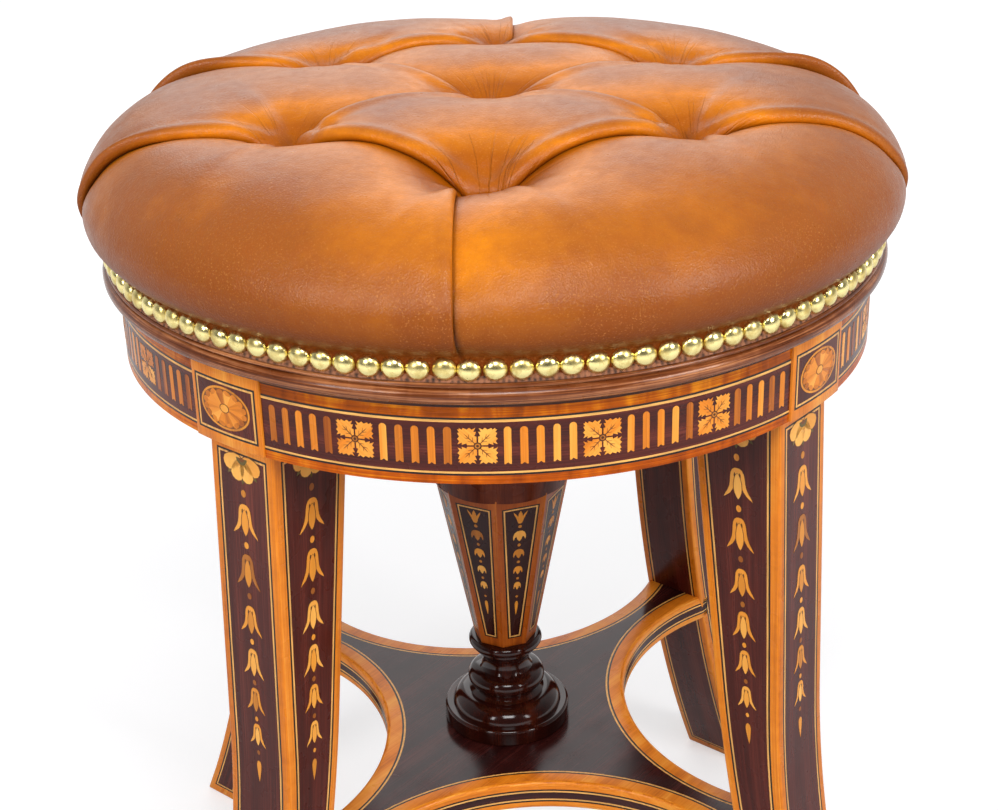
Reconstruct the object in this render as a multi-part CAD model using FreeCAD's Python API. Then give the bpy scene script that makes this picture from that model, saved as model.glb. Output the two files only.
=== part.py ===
import FreeCAD, Part
import math
import os

from FreeCAD import Placement, Rotation, Vector

# A round piano stool with a rising screw seat: four sabre legs, an inlaid frieze, a shaped
# stretcher platform, a tapering centre column that houses the screw, and a tufted leather seat.
# Millimetres, Z up, origin on the floor under the middle of the stool, front towards -Y.

# Heights of the main levels
total_height = 502.0
seat_depth = 121.2
frieze_bottom = total_height - seat_depth
frieze_height = 36.8
frieze_top = frieze_bottom + frieze_height
seat_gap = 0.4

# Frieze rails between the leg blocks
rail_radius = 178.6
rail_thickness = 24.0
rail_inner = rail_radius - rail_thickness
rail_turns = {"front": -90, "right": 0, "back": 90, "left": 180}

# Legs: widths across the leg, and radii from the middle of the stool
leg_half_width = 19.2
block_half_width = 20.2
block_proud = 1.2
block_radius = rail_radius + block_proud
block_depth = 53.3
leg_set_back = 7.0
leg_inner_top = block_radius - block_depth
leg_outer_top = block_radius - leg_set_back
inner_bend = (block_radius - 36.8, 0.638 * frieze_bottom)
inner_middle = (block_radius - 13.3, 0.319 * frieze_bottom)
inner_foot = block_radius + 30.2
outer_bend = (block_radius - 0.8, 0.604 * frieze_bottom)
outer_middle = (block_radius + 15.3, 0.302 * frieze_bottom)
outer_foot = block_radius + 56.2
leg_turns = {"front_left": -135, "front_right": -45, "back_right": 45, "back_left": 135}

# Tenons of the frieze rails in the leg blocks
tenon_cheek = 7.6
tenon_thickness = 11.0
tenon_outer = rail_radius - tenon_cheek
tenon_inner = tenon_outer - tenon_thickness
tenon_length = 12.0
tenon_shoulder = 7.2
tenon_bottom = frieze_bottom + tenon_shoulder
tenon_top = frieze_top - tenon_shoulder - 1.4

# Marquetry let into the frieze
band_thickness = 1.2
band_foot = 5.8
band_height = 23.2
band_bottom = frieze_bottom + band_foot
band_top = band_bottom + band_height
inlay_middle = band_bottom + band_height / 2
band_margin = 3.0
inlay_thickness = 0.8
flute_width = 3.1
flute_height = 16.7
flute_end_margin = 0.8
flutes_in_run = 5
rosettes_in_band = 4
rosette_reach_pitches = 1.83
rosette_half_width = 8.0
rosette_half_height = 7.85
patera_half_width = 14.6
patera_half_height = 9.9

# Blocks glued in the corners behind the frieze
glue_block_depth = 20.5
glue_block_width = 22.0
glue_block_toe = 8.0
glue_block_height = 26.0
glue_block_bottom = frieze_bottom + 5.2

# Halved cross rails under the seat
cross_width = 60.0
cross_rise = 4.2
cross_thickness = 18.0
cross_bottom = frieze_bottom + cross_rise
cross_top = cross_bottom + cross_thickness
cross_housing = 8.0

# Rising screw, its nut and its stop
screw_radius = 9.5
thread_clearance = 0.05
nut_flange_radius = 32.0
nut_flange_thickness = 5.0
nut_flange_bevel = 1.0
nut_barrel_radius = 17.0
nut_barrel_length = 65.0
nut_bottom = cross_top - nut_barrel_length
barrel_clearance = 0.1
rise = 90.0
stop_clearance = 0.5
spigot_radius = 6.0
spigot_bevel = 1.0
washer_radius = 11.5
washer_thickness = 4.0
washer_clearance = 0.1
stop_nut_height = 8.0
stop_nut_across = 17.0
spigot_tail = 3.0
stop_pin_radius = 1.25
stop_level = nut_bottom - rise - stop_clearance
stop_nut_top = stop_level - washer_thickness - 2 * washer_clearance
spigot_end = stop_nut_top - stop_nut_height - spigot_tail
nut_screw_circle = 25.0
nut_screw_length = 38.0
column_screw_circle = 40.0
column_screw_length = 44.0

# Centre column
column_slope = 0.193
column_base_radius = 16.1
column_sides = 8
column_turn = -10.0
flat_length = 97.0
flat_run_out = 8.0
screw_bore_clearance = 1.0
screw_bore_tail = 10.0
screw_bore_floor = 24.3112
screw_bore_bottom = spigot_end - screw_bore_tail
column_base = screw_bore_bottom - screw_bore_floor
column_tenon_radius = 9.0
column_tenon_end = 8.0
bolt_length = 42.0

# Turned socle under the column
socle_radius = 33.2
socle_height = 51.0

# Stretcher platform
platform_thickness = 16.0
platform_top = column_base - socle_height
platform_bottom = platform_top - platform_thickness
platform_waist = 65.56
platform_edge_round = 2.0
arm_shoulder = block_radius - 16.8
arm_end = arm_shoulder + 5.0
platform_tenon_half_width = 9.0
platform_tenon_cheek = 3.5
platform_tenon_inner = block_radius - 29.8
platform_tenon_outer = block_radius - 3.8
platform_tenon_bottom = platform_bottom + platform_tenon_cheek
platform_tenon_top = platform_top - platform_tenon_cheek
peg_radius = 2.5
peg_tail = 9.0
peg_inset = 6.0

# Seat board, its moulding and the iron plate beneath
board_bottom = frieze_top + 0.9
moulding_height = 9.5
board_step = frieze_top + seat_gap + moulding_height
board_top = board_bottom + 21.5
board_radius = rail_radius - 0.1
rebate_radius = board_radius - 8.5
moulding_radius = board_radius + 7.1
moulding_quirk = 1.4
plate_radius = 60.0
plate_thickness = 5.0
plate_bevel = 1.0
plate_bottom = board_bottom - plate_thickness
boss_radius = 20.0
boss_clearance = 0.3
plate_screw_circle = 46.0
plate_screw_count = 6
plate_screw_length = 20.0

# Upholstery
leather_thickness = 3.3
leather_edge_radius = board_radius + leather_thickness
leather_bottom = board_step + 0.5
cushion_depth = total_height - leather_bottom
belly = 14.2
shoulder_set_in = 13.8
crown_set_in = 86.8
tuft_depth = 26.5
tuft_bottom = total_height - tuft_depth
stuffing_top = tuft_bottom - 5.5
tuft_circle = 105.0
tuft_count = 6
tuft_turn = -7.0
tuft_mouth = 27.0
twine_radius = 1.2
twine_hole_radius = 3.0
twine_top_cover = 2.5
knot_radius = 3.6
knot_clearance = 0.4
knot_recess_radius = 5.0
knot_recess_depth = 2 * knot_radius + 2 * knot_clearance
pleat_half_width = 21.0
pleat_depth = 8.0
pleat_lift = 1.5
crease_width = 2.8

# Brass studs round the leather edge
stud_pitch = 10.1
stud_radius = 5.0
stud_dome = 3.2
stud_height = leather_bottom + 5.0
stud_shank_radius = 0.8
stud_shank_length = 12.0

UP = Vector(0, 0, 1)
ORIGIN = Vector(0, 0, 0)
LARGE = 400.0


def path_face(start, steps):
    """A face in the XZ plane from a start point and steps: a point for a line, a pair for an arc."""
    here = Vector(start[0], 0, start[1])
    first, edges = here, []
    for step in steps:
        if isinstance(step[0], tuple):
            through, end = (Vector(p[0], 0, p[1]) for p in step)
            edges.append(Part.Arc(here, through, end).toShape())
        else:
            end = Vector(step[0], 0, step[1])
            edges.append(Part.makeLine(here, end))
        here = end
    if here.distanceToPoint(first) > 1e-6:
        edges.append(Part.makeLine(here, first))
    return Part.Face(Part.Wire(edges))


def turned(start, steps):
    """A solid of revolution about the Z axis."""
    return path_face(start, steps).revolve(ORIGIN, UP, 360)


def rod(radius, bottom, top, x=0.0, y=0.0):
    return Part.makeCylinder(radius, top - bottom, Vector(x, y, bottom))


def ring(inner, outer, bottom, top):
    return rod(outer, bottom, top).cut(rod(inner, bottom, top))


def box(x, y, z):
    """A box between the given pairs of coordinates."""
    return Part.makeBox(x[1] - x[0], y[1] - y[0], z[1] - z[0], Vector(x[0], y[0], z[0]))


def spun(shape, degrees):
    """A copy turned about the Z axis."""
    copy = shape.copy()
    copy.rotate(ORIGIN, UP, degrees)
    return copy


def polar(radius, degrees, z=0.0):
    angle = math.radians(degrees)
    return Vector(radius * math.cos(angle), radius * math.sin(angle), z)


def front_angle(degrees):
    """The angle from the X axis of a bearing measured from the front towards the right."""
    return degrees - 90.0


def wood_screw(x, y, head_z, length, radius, head_radius, up):
    """A countersunk wood screw, its head flush at head_z and its point up or down."""
    head = head_radius - radius
    sign = 1.0 if up else -1.0
    outline = [(head_radius, 0), (radius, sign * head), (radius, sign * (length - 2 * radius)),
               (0, sign * length)]
    screw = turned((0, 0), outline)
    screw.translate(Vector(x, y, head_z))
    return screw


# Legs

def leg_stem():
    """The sabre-curved lower leg, its radius along +X."""
    face = path_face((leg_inner_top, frieze_bottom), [
        inner_bend, (inner_middle, (inner_foot, 0)), (outer_foot, 0),
        (outer_middle, outer_bend), (leg_outer_top, frieze_bottom)])
    stem = face.extrude(Vector(0, 2 * leg_half_width, 0))
    stem.translate(Vector(0, -leg_half_width, 0))
    return stem


def leg_block():
    """The square block at the top of a leg, its face curved with the frieze."""
    block = box((leg_inner_top, block_radius + 1), (-block_half_width, block_half_width),
                (frieze_bottom, frieze_top))
    return block.common(rod(block_radius, frieze_bottom, frieze_top))


def frieze_tenon(side):
    """The tenon of a frieze rail on one side of a leg block, in the leg's own frame."""
    edge, tip = side * block_half_width, side * (block_half_width - tenon_length)
    return box((tenon_inner, tenon_outer), (min(edge, tip), max(edge, tip)),
               (tenon_bottom, tenon_top))


def platform_tenon():
    return box((platform_tenon_inner, platform_tenon_outer),
               (-platform_tenon_half_width, platform_tenon_half_width),
               (platform_tenon_bottom, platform_tenon_top))


def patera(clearance=0.0):
    """The oval inlay on the face of a leg block."""
    oval = Part.Ellipse(ORIGIN, patera_half_width, patera_half_height).toShape()
    face = Part.Face(Part.Wire([oval]))
    solid = face.extrude(Vector(0, 0, 20))
    solid.Placement = Placement(Vector(block_radius - 10, 0, inlay_middle),
                                Rotation(Vector(0, 1, 0), Vector(0, 0, 1), Vector(1, 0, 0)))
    return solid.common(ring(block_radius - inlay_thickness, block_radius,
                             frieze_bottom, frieze_top))


def leg(degrees):
    solid = leg_stem().fuse(leg_block()).removeSplitter()
    for side in (-1, 1):
        solid = solid.cut(frieze_tenon(side))
    solid = solid.cut(platform_tenon()).cut(dowel()).cut(patera())
    return spun(solid, degrees)


def dowel():
    """The peg that pins a platform tenon inside its leg."""
    return rod(peg_radius, platform_tenon_bottom - peg_tail, platform_tenon_top + peg_tail,
               platform_tenon_outer - peg_inset, 0.0)


# Frieze

def frieze_rail(degrees):
    """One curved rail between two leg blocks, with a tenon at each end."""
    rail = ring(rail_inner, rail_radius, frieze_bottom, frieze_top)
    wedge = wedge_about_x(45.0)
    rail = rail.common(wedge)
    for turn in (-45, 45):
        rail = rail.cut(spun(box((0, LARGE), (-block_half_width, block_half_width),
                                 (0, LARGE * 2)), turn))
    for side, turn in ((1, -45), (-1, 45)):
        rail = rail.fuse(spun(frieze_tenon(side), turn))
    rail = rail.removeSplitter()
    rail = rail.cut(cross_rail_blank()).cut(band_blank())
    return spun(rail, degrees)


def wedge_about_x(half_angle):
    """A tall wedge about the +X axis, open to half_angle on each side."""
    a, b = polar(LARGE, -half_angle), polar(LARGE, half_angle)
    face = Part.Face(Part.makePolygon([ORIGIN, a, b, ORIGIN]))
    return face.extrude(Vector(0, 0, 2 * LARGE))


def band_half_angle():
    """Half the angle of a frieze band, which stops short of the blocks."""
    block_edge = math.degrees(math.asin((block_half_width + band_margin) / rail_radius))
    return 45.0 - block_edge


def band_blank():
    """The mahogany frieze band before its inlays, about the +X axis."""
    band = ring(rail_radius - band_thickness, rail_radius, band_bottom, band_top)
    return band.common(wedge_about_x(band_half_angle()))


def flute_shape():
    """One upright round-topped flute at the +X side of the frieze, notched at its foot."""
    half, low = flute_width / 2, inlay_middle - flute_height / 2
    high = inlay_middle + flute_height / 2
    points = [Vector(0, -half, low), Vector(0, -half, high - half), Vector(0, 0, high),
              Vector(0, half, high - half), Vector(0, half, low), Vector(0, 0, low + half / 2)]
    edges = [Part.makeLine(points[0], points[1]), Part.Arc(*points[1:4]).toShape(),
             Part.makeLine(points[3], points[4]), Part.makeLine(points[4], points[5]),
             Part.makeLine(points[5], points[0])]
    return Part.Face(Part.Wire(edges)).extrude(Vector(2 * rail_radius, 0, 0))


def rosette_shape():
    """One square rosette of four corner leaves at the +X side of the frieze."""
    wide, high, waist = rosette_half_width, rosette_half_height, 0.42
    outline = []
    for y, z in ((1, 1), (-1, 1), (-1, -1), (1, -1)):
        outline.append(Vector(0, y * wide, inlay_middle + z * high))
        if y * z > 0:
            outline.append(Vector(0, 0, inlay_middle + z * high * waist))
        else:
            outline.append(Vector(0, y * wide * waist, inlay_middle))
    outline.append(outline[0])
    return Part.Face(Part.makePolygon(outline)).extrude(Vector(2 * rail_radius, 0, 0))


def inlay_layout():
    """Angles along one band for the flutes and the rosettes, the middle of the band at 0."""
    length = math.radians(2 * band_half_angle()) * rail_radius - 2 * flute_end_margin - flute_width
    gaps = flutes_in_run - 1
    pitches = gaps * (rosettes_in_band + 1) + 2 * rosette_reach_pitches * rosettes_in_band
    pitch = length / pitches
    step = (gaps + 2 * rosette_reach_pitches) * pitch
    flutes, rosettes = [], []
    for k in range(rosettes_in_band + 1):
        middle = (k - rosettes_in_band / 2) * step
        for n in range(flutes_in_run):
            flutes.append(middle + (n - gaps / 2) * pitch)
        if k < rosettes_in_band:
            rosettes.append(middle + step / 2)
    turn = math.degrees(1.0 / rail_radius)
    return [s * turn for s in flutes], [s * turn for s in rosettes]


def band_inlays(shape, angles):
    """Copies of an inlay shape round one band, cut to the inlay thickness."""
    skin = ring(rail_radius - inlay_thickness, rail_radius, band_bottom, band_top)
    piece = shape.common(skin)
    return [spun(piece, angle) for angle in angles]


def frieze():
    """Bands, flutes and rosettes of the frieze, as band solids by side and two inlay groups."""
    flute_angles, rosette_angles = inlay_layout()
    flutes = band_inlays(flute_shape(), flute_angles)
    rosettes = band_inlays(rosette_shape(), rosette_angles)
    band = band_blank().cut(flutes + rosettes)
    bands, all_flutes, all_rosettes = {}, [], []
    for name, degrees in rail_turns.items():
        bands[name] = spun(band, degrees)
        all_flutes += [spun(f, degrees) for f in flutes]
        all_rosettes += [spun(r, degrees) for r in rosettes]
    return bands, Part.makeCompound(all_flutes), Part.makeCompound(all_rosettes)


def paterae():
    return Part.makeCompound([spun(patera(), turn) for turn in leg_turns.values()])


def glue_blocks():
    """Blocks in the angles between the leg blocks and the frieze rails."""
    blocks, top = [], glue_block_bottom + glue_block_height
    for turn in leg_turns.values():
        for side in (-1, 1):
            near, far = side * block_half_width, side * (block_half_width + glue_block_width)
            toe, heel = rail_inner - glue_block_toe, rail_inner - glue_block_depth
            corners = [Vector(heel, near, 0), Vector(rail_radius, near, 0),
                       Vector(rail_radius, far, 0), Vector(toe, far, 0), Vector(heel, near, 0)]
            prism = Part.Face(Part.makePolygon(corners)).extrude(Vector(0, 0, glue_block_height))
            prism.translate(Vector(0, 0, glue_block_bottom))
            blocks.append(spun(prism.common(rod(rail_inner, glue_block_bottom, top)), turn))
    return Part.makeCompound(blocks)


# Cross rails

def cross_rail_blank():
    """A full cross rail along X, its ends curved to seat in the frieze rails."""
    half = cross_width / 2
    bar = box((-LARGE, LARGE), (-half, half), (cross_bottom, cross_top))
    return bar.common(rod(rail_inner + cross_housing, cross_bottom, cross_top))


def cross_rail(along_x, holes):
    """One of the two halved rails; the rail along X lies under the other at the halving."""
    half, middle = cross_width / 2, cross_bottom + cross_thickness / 2
    bar = spun(cross_rail_blank(), 0 if along_x else 90)
    levels = (middle, cross_top) if along_x else (cross_bottom, middle)
    notch = box((-half, half), (-half, half), levels)
    return bar.cut(notch).cut(holes)


# Screw and nut

def screw_nut():
    """The flanged iron nut let down through the cross rails into the column."""
    flange = cross_top + nut_flange_thickness
    nut = turned((screw_radius + thread_clearance, nut_bottom), [
        (nut_barrel_radius, nut_bottom), (nut_barrel_radius, cross_top),
        (nut_flange_radius, cross_top), (nut_flange_radius, flange - nut_flange_bevel),
        (nut_flange_radius - nut_flange_bevel, flange), (screw_radius + thread_clearance, flange)])
    return nut.cut(nut_screws())


def nut_screws():
    top = cross_top + nut_flange_thickness
    return Part.makeCompound([
        wood_screw(p.x, p.y, top, nut_screw_length, 2.0, 4.0, False)
        for p in (polar(nut_screw_circle, 45 + 90 * k) for k in range(4))])


def column_screws():
    """Screws down through the cross rails into the head of the column."""
    return Part.makeCompound([
        wood_screw(p.x, p.y, cross_top, column_screw_length, 2.2, 4.4, False)
        for p in (polar(column_screw_circle, 90 * k) for k in range(4))])


def seat_screw():
    """The steel screw under the seat, with a spigot for the stop washer and nut."""
    screw = turned((0, spigot_end), [
        (spigot_radius - spigot_bevel, spigot_end),
        (spigot_radius, spigot_end + spigot_bevel),
        (spigot_radius, stop_level), (screw_radius, stop_level),
        (screw_radius, board_bottom), (0, board_bottom)])
    return screw.cut(stop_pin())


def stop_washer():
    top = stop_level - washer_clearance
    return ring(spigot_radius + thread_clearance, washer_radius, top - washer_thickness, top)


def stop_nut():
    """The hexagon nut under the stop washer."""
    circle = stop_nut_across / 2 / math.cos(math.radians(30))
    corners = [polar(circle, 60 * k, stop_nut_top - stop_nut_height) for k in range(7)]
    nut = Part.Face(Part.makePolygon(corners)).extrude(Vector(0, 0, stop_nut_height))
    return nut.cut(rod(spigot_radius, spigot_end, stop_level)).cut(stop_pin())


def stop_pin():
    """The pin through the stop nut and the spigot."""
    half = stop_nut_across / 2
    pin = Part.makeCylinder(stop_pin_radius, 2 * half, Vector(-half, 0, 0), Vector(1, 0, 0))
    pin.translate(Vector(0, 0, stop_nut_top - stop_nut_height / 2))
    return pin


# Column and socle

def column_radius(z):
    return column_base_radius + column_slope * (z - column_base)


def column_flat(turn):
    """What is cut away for one flat of the column, square at its top."""
    flatness = math.cos(math.pi / column_sides)
    foot = column_radius(column_base) * flatness
    lean = math.atan(column_slope * flatness)
    half = column_radius(column_base + flat_length) / 2
    tool = box((0, column_base_radius), (-half, half), (-flat_run_out, flat_length))
    tool.rotate(ORIGIN, Vector(0, 1, 0), math.degrees(lean))
    tool.translate(Vector(foot, 0, column_base))
    return spun(tool, turn)


def column():
    """The tapering column: round at its head, eight flats below, bored for the screw."""
    top, bore = cross_bottom, washer_radius + screw_bore_clearance
    body = turned((0, column_base), [(column_radius(column_base), column_base),
                                     (column_radius(top), top), (0, top)])
    for k in range(column_sides):
        body = body.cut(column_flat(front_angle(column_turn) + (k + 0.5) * 360 / column_sides))
    tenon = rod(column_tenon_radius, platform_bottom + column_tenon_end, column_base)
    body = body.fuse(tenon).removeSplitter()
    body = body.cut(rod(bore, screw_bore_bottom, top))
    body = body.cut(rod(nut_barrel_radius + barrel_clearance, nut_bottom - 1, top))
    return body.cut([nut_screws(), column_screws(), column_bolt()])


def column_bolt():
    """The long screw up through the platform into the foot of the column."""
    return wood_screw(0, 0, platform_bottom, bolt_length, 2.5, 5.5, True)


def socle():
    """The turned foot of the column: a stepped disc, a ring, a neck and a collar."""
    wide = socle_radius

    def at(inset, share):
        return wide - inset, platform_top + share * socle_height

    outline = [
        at(1.2, 0.0), (at(0.35, 0.007), at(0, 0.024)), at(0, 0.147),
        (at(0.5, 0.176), at(2.0, 0.184)), at(4.2, 0.184), (at(6.8, 0.294), at(13.2, 0.345)),
        at(15.6, 0.38), at(15.6, 0.404), (at(12.8, 0.496), at(15.6, 0.588)), at(19.0, 0.612),
        (at(20.8, 0.706), at(19.2, 0.814)), at(16.6, 0.851), at(16.6, 0.882),
        (at(13.8, 0.939), at(16.0, 1.0)), (column_tenon_radius, column_base)]
    return turned((column_tenon_radius, platform_top), outline)


# Platform

def arm_corner(radius, offset, degrees, z):
    """A point on an arm of the platform, offset sideways from the arm's middle line."""
    return polar(radius, degrees, z) + polar(offset, degrees + 90)


def platform_face(z):
    """The four-armed outline of the platform at one height."""
    edges, half = [], leg_half_width
    for turn in (0, 90, 180, 270):
        here, there = turn - 45, turn + 45
        start, end = arm_corner(arm_shoulder, half, here, z), arm_corner(arm_shoulder, -half, there, z)
        near_tip, far_tip = arm_corner(arm_end, -half, there, z), arm_corner(arm_end, half, there, z)
        edges.append(Part.Arc(start, polar(platform_waist, turn, z), end).toShape())
        edges += [Part.makeLine(end, near_tip), Part.makeLine(near_tip, far_tip),
                  Part.makeLine(far_tip, arm_corner(arm_shoulder, half, there, z))]
    return Part.Face(Part.Wire(edges))


def platform():
    solid = platform_face(platform_bottom).extrude(Vector(0, 0, platform_thickness))
    bays = [e for e in solid.Edges if abs(e.BoundBox.ZMin - platform_top) < 1e-6
            and abs(e.BoundBox.ZMax - platform_top) < 1e-6
            and e.Length > platform_waist]
    solid = solid.makeFillet(platform_edge_round, bays)
    stems = [spun(leg_stem(), turn) for turn in leg_turns.values()]
    solid = solid.cut(stems)
    for turn in leg_turns.values():
        solid = solid.fuse(spun(platform_tenon(), turn).cut(spun(dowel(), turn)))
    solid = solid.removeSplitter()
    return solid.cut([rod(column_tenon_radius, platform_bottom, platform_top), column_bolt()])


def platform_pegs():
    return Part.makeCompound([spun(dowel(), turn) for turn in leg_turns.values()])


# Seat

def tufts():
    """Plan positions of the seven tufts."""
    around = [polar(tuft_circle, front_angle(tuft_turn + 60 * k)) for k in range(tuft_count)]
    return [ORIGIN] + around


def seat_plate():
    """The iron plate and boss that hold the screw to the seat board."""
    boss = cross_top + nut_flange_thickness + boss_clearance
    plate = turned((screw_radius, boss), [
        (boss_radius, boss), (boss_radius, plate_bottom),
        (plate_radius - plate_bevel, plate_bottom), (plate_radius, plate_bottom + plate_bevel),
        (plate_radius, board_bottom),
        (screw_radius, board_bottom)])
    return plate.cut(plate_screws())


def plate_screws():
    spots = [polar(plate_screw_circle, 360 / plate_screw_count * k)
             for k in range(plate_screw_count)]
    return Part.makeCompound([wood_screw(p.x, p.y, plate_bottom, plate_screw_length, 2.0, 4.0, True)
                              for p in spots])


def seat_board():
    """The round wooden seat board, rebated below for its moulding."""
    board = turned((0, board_bottom), [
        (rebate_radius, board_bottom), (rebate_radius, board_step), (board_radius, board_step),
        (board_radius, board_top), (0, board_top)])
    holes = []
    for p in tufts():
        holes.append(rod(twine_hole_radius, board_bottom, board_top, p.x, p.y))
        holes.append(rod(knot_recess_radius, board_bottom, board_bottom + knot_recess_depth,
                         p.x, p.y))
    return board.cut(holes).cut(plate_screws())


def seat_moulding():
    """The half-round moulding round the seat, with a quirk and a narrow ledge above it."""
    low, high = frieze_top + seat_gap, board_step
    bead = high - moulding_quirk
    return turned((rebate_radius, low), [
        (moulding_radius - 2.6, low),
        ((moulding_radius, (low + bead) / 2), (moulding_radius - 2.2, bead)),
        (moulding_radius - 3.0, bead), (moulding_radius - 3.0, high), (rebate_radius, high)])


def stuffing_profile():
    """The side and top of the first stuffing, from the edge of the board to the middle."""
    deep = stuffing_top - board_top

    def at(out, share):
        return board_radius + out, board_top + share * deep

    return [(at(8.5, 0.2), at(9.0, 0.467)), (at(3.5, 0.867), at(-10.5, 1.0)), (0, stuffing_top)]


def first_stuffing():
    """The firm dome of stuffing on the board."""
    dome = turned((0, board_top), [(board_radius, board_top)] + stuffing_profile())
    return dome.cut([rod(twine_radius, board_top, stuffing_top, p.x, p.y) for p in tufts()])


def cushion_point(out, share):
    """A point of the cushion's profile: outwards from its edge, and a share of its depth up."""
    return leather_edge_radius + out, leather_bottom + share * cushion_depth


def cushion_blank():
    """The whole upholstered shape before its tufts: a crown with full, drawn-in sides."""
    at = cushion_point
    return turned((0, leather_bottom), [
        at(0, 0), at(0, 0.135), (at(0.79 * belly, 0.21), at(belly, 0.345)),
        (at(0.61 * belly, 0.662), at(-shoulder_set_in, 0.845)),
        (at(-0.54 * crown_set_in, 0.953), at(-crown_set_in, 1.0)), (0, total_height)])


def crown_height(r):
    """Height of the untufted crown at radius r."""
    flat, _ = cushion_point(-crown_set_in, 1.0)
    shoulder, low = cushion_point(-shoulder_set_in, 0.845)
    share = max(0.0, r - flat) / (shoulder - flat)
    return total_height - (total_height - low) * share ** 1.5


def pleat_section(point, across, depth):
    """A cusp between two rounded pads, its lowest point depth below the given point."""
    low, lift = point - UP * depth, UP * pleat_lift
    right, left = (point + across * (side * pleat_half_width) + lift for side in (1, -1))
    shoulders = [point + across * (side * pleat_half_width * 0.32) - UP * (depth * 0.36)
                 for side in (1, -1)]
    edges = [Part.Arc(low, shoulders[0], right).toShape(), Part.makeLine(right, left),
             Part.Arc(left, shoulders[1], low).toShape()]
    return Part.Wire(edges)


def pleat(start, end, middle_depth):
    """A pleat between two plan points: deep at its ends, shallower in the middle."""
    along = (end - start).normalize()
    across = Vector(-along.y, along.x, 0)
    length = start.distanceToPoint(end)
    sections = []
    for share in (0.0, 0.25, 0.5, 0.75, 1.0):
        p = start + along * (length * share)
        z = crown_height(math.hypot(p.x, p.y))
        near = abs(2 * share - 1) ** 2
        depth = middle_depth + (z - tuft_bottom - 4.0 - middle_depth) * near
        sections.append(pleat_section(Vector(p.x, p.y, z), across, depth))
    return Part.makeLoft(sections, True)


def rim_pleat(degrees):
    """A pleat straight out from a tuft over the crown and down the side."""
    at, near = cushion_point, tuft_circle - 2.0
    high, wide = total_height + pleat_lift, leather_edge_radius + 2 * belly
    profile = path_face((near, high), [
        (near, tuft_bottom + 6.0), (at(-41.8, 0.757), at(-0.83 * shoulder_set_in, 0.696)),
        (at(0.44 * belly, 0.568), at(0.76 * belly, 0.351)), (at(0.61 * belly, 0.243), at(1.7, 0.149)),
        (wide, at(0, 0.149)[1]), (wide, high)])
    slot = profile.extrude(Vector(0, crease_width, 0))
    slot.translate(Vector(0, -crease_width / 2, 0))
    return spun(slot, degrees)


def tuft_pit(point):
    """The funnel at one tuft."""
    brim = total_height + pleat_lift
    pit = turned((0, tuft_bottom), [
        ((tuft_mouth * 0.28, tuft_bottom + 0.53 * tuft_depth), (tuft_mouth, brim)), (0, brim)])
    pit.translate(Vector(point.x, point.y, 0))
    return pit


def seat_cover():
    """The leather and its top stuffing, tucked down at seven tufts with pleats between."""
    centre, outer = tufts()[0], tufts()[1:]
    joins = [(outer[0], outer[5]), (outer[0], outer[1]), (outer[5], centre), (outer[1], centre),
             (centre, outer[4]), (centre, outer[2]), (outer[4], outer[3]), (outer[2], outer[3])]
    cover = cushion_blank()
    cover = cover.cut([tuft_pit(p) for p in tufts()])
    for a, b in joins:
        cover = cover.cut(pleat(a, b, pleat_depth))
    for k in range(tuft_count):
        cover = cover.cut(rim_pleat(front_angle(tuft_turn + 60 * k)))
    core = turned((0, leather_bottom), [
        (board_radius, leather_bottom), (board_radius, board_top)] + stuffing_profile())
    return cover.cut(core).cut(tuft_twines())


def tuft_twines():
    """The seven twines that draw the tufts down, knotted under the board."""
    twines = []
    for p in tufts():
        knot = board_bottom + knot_radius + knot_clearance
        ball = Part.makeSphere(knot_radius, Vector(p.x, p.y, knot))
        twines.append(ball.fuse(rod(twine_radius, knot, tuft_bottom - twine_top_cover, p.x, p.y)))
    return Part.makeCompound(twines)


def stud():
    """One domed nail pointing inwards along -X, its head seated on the leather."""
    dome_radius = (stud_radius ** 2 + stud_dome ** 2) / (2 * stud_dome)
    face = path_face((0, 0), [
        (0, -stud_shank_length), (stud_shank_radius, -stud_shank_length + 3.0),
        (stud_shank_radius, 0), (stud_radius, 0),
        ((dome_radius * math.sin(0.55), stud_dome - dome_radius * (1 - math.cos(0.55))),
         (0, stud_dome))])
    nail = face.revolve(ORIGIN, UP, 360)
    nail.rotate(ORIGIN, Vector(0, 1, 0), 90)
    nail.translate(Vector(leather_edge_radius, 0, stud_height))
    return nail


def brass_studs():
    count = round(2 * math.pi * leather_edge_radius / stud_pitch)
    return Part.makeCompound([spun(stud(), 360 / count * k) for k in range(count)])


def build():
    """Every piece of the stool by node name."""
    bands, flutes, rosettes = frieze()
    rail_holes = [rod(nut_barrel_radius, cross_bottom, cross_top), nut_screws(), column_screws()]
    pieces = {f"leg_{name}": leg(turn) for name, turn in leg_turns.items()}
    pieces |= {f"frieze_rail_{name}": frieze_rail(turn) for name, turn in rail_turns.items()}
    pieces |= {f"frieze_band_{name}": band for name, band in bands.items()}
    pieces |= {
        "frieze_flutes": flutes, "frieze_rosettes": rosettes, "block_paterae": paterae(),
        "glue_blocks": glue_blocks(), "cross_rail_x": cross_rail(True, rail_holes),
        "cross_rail_y": cross_rail(False, rail_holes), "screw_nut": screw_nut(),
        "nut_screws": nut_screws(), "column_screws": column_screws(), "column": column(),
        "column_bolt": column_bolt(), "socle": socle(), "platform": platform(),
        "platform_pegs": platform_pegs(), "stop_washer": stop_washer(),
        "seat_screw": seat_screw(), "stop_nut": stop_nut(), "stop_pin": stop_pin(),
        "seat_plate": seat_plate(), "plate_screws": plate_screws(), "seat_board": seat_board(),
        "seat_moulding": seat_moulding(), "first_stuffing": first_stuffing(),
        "tuft_twines": tuft_twines(), "seat_cover": seat_cover(), "brass_studs": brass_studs()}
    return pieces


os.makedirs("parts", exist_ok=True)
for node, shape in build().items():
    shape.exportStep(f"parts/{node}.step")
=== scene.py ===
"""The looks of a round piano stool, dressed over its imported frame."""

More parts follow.
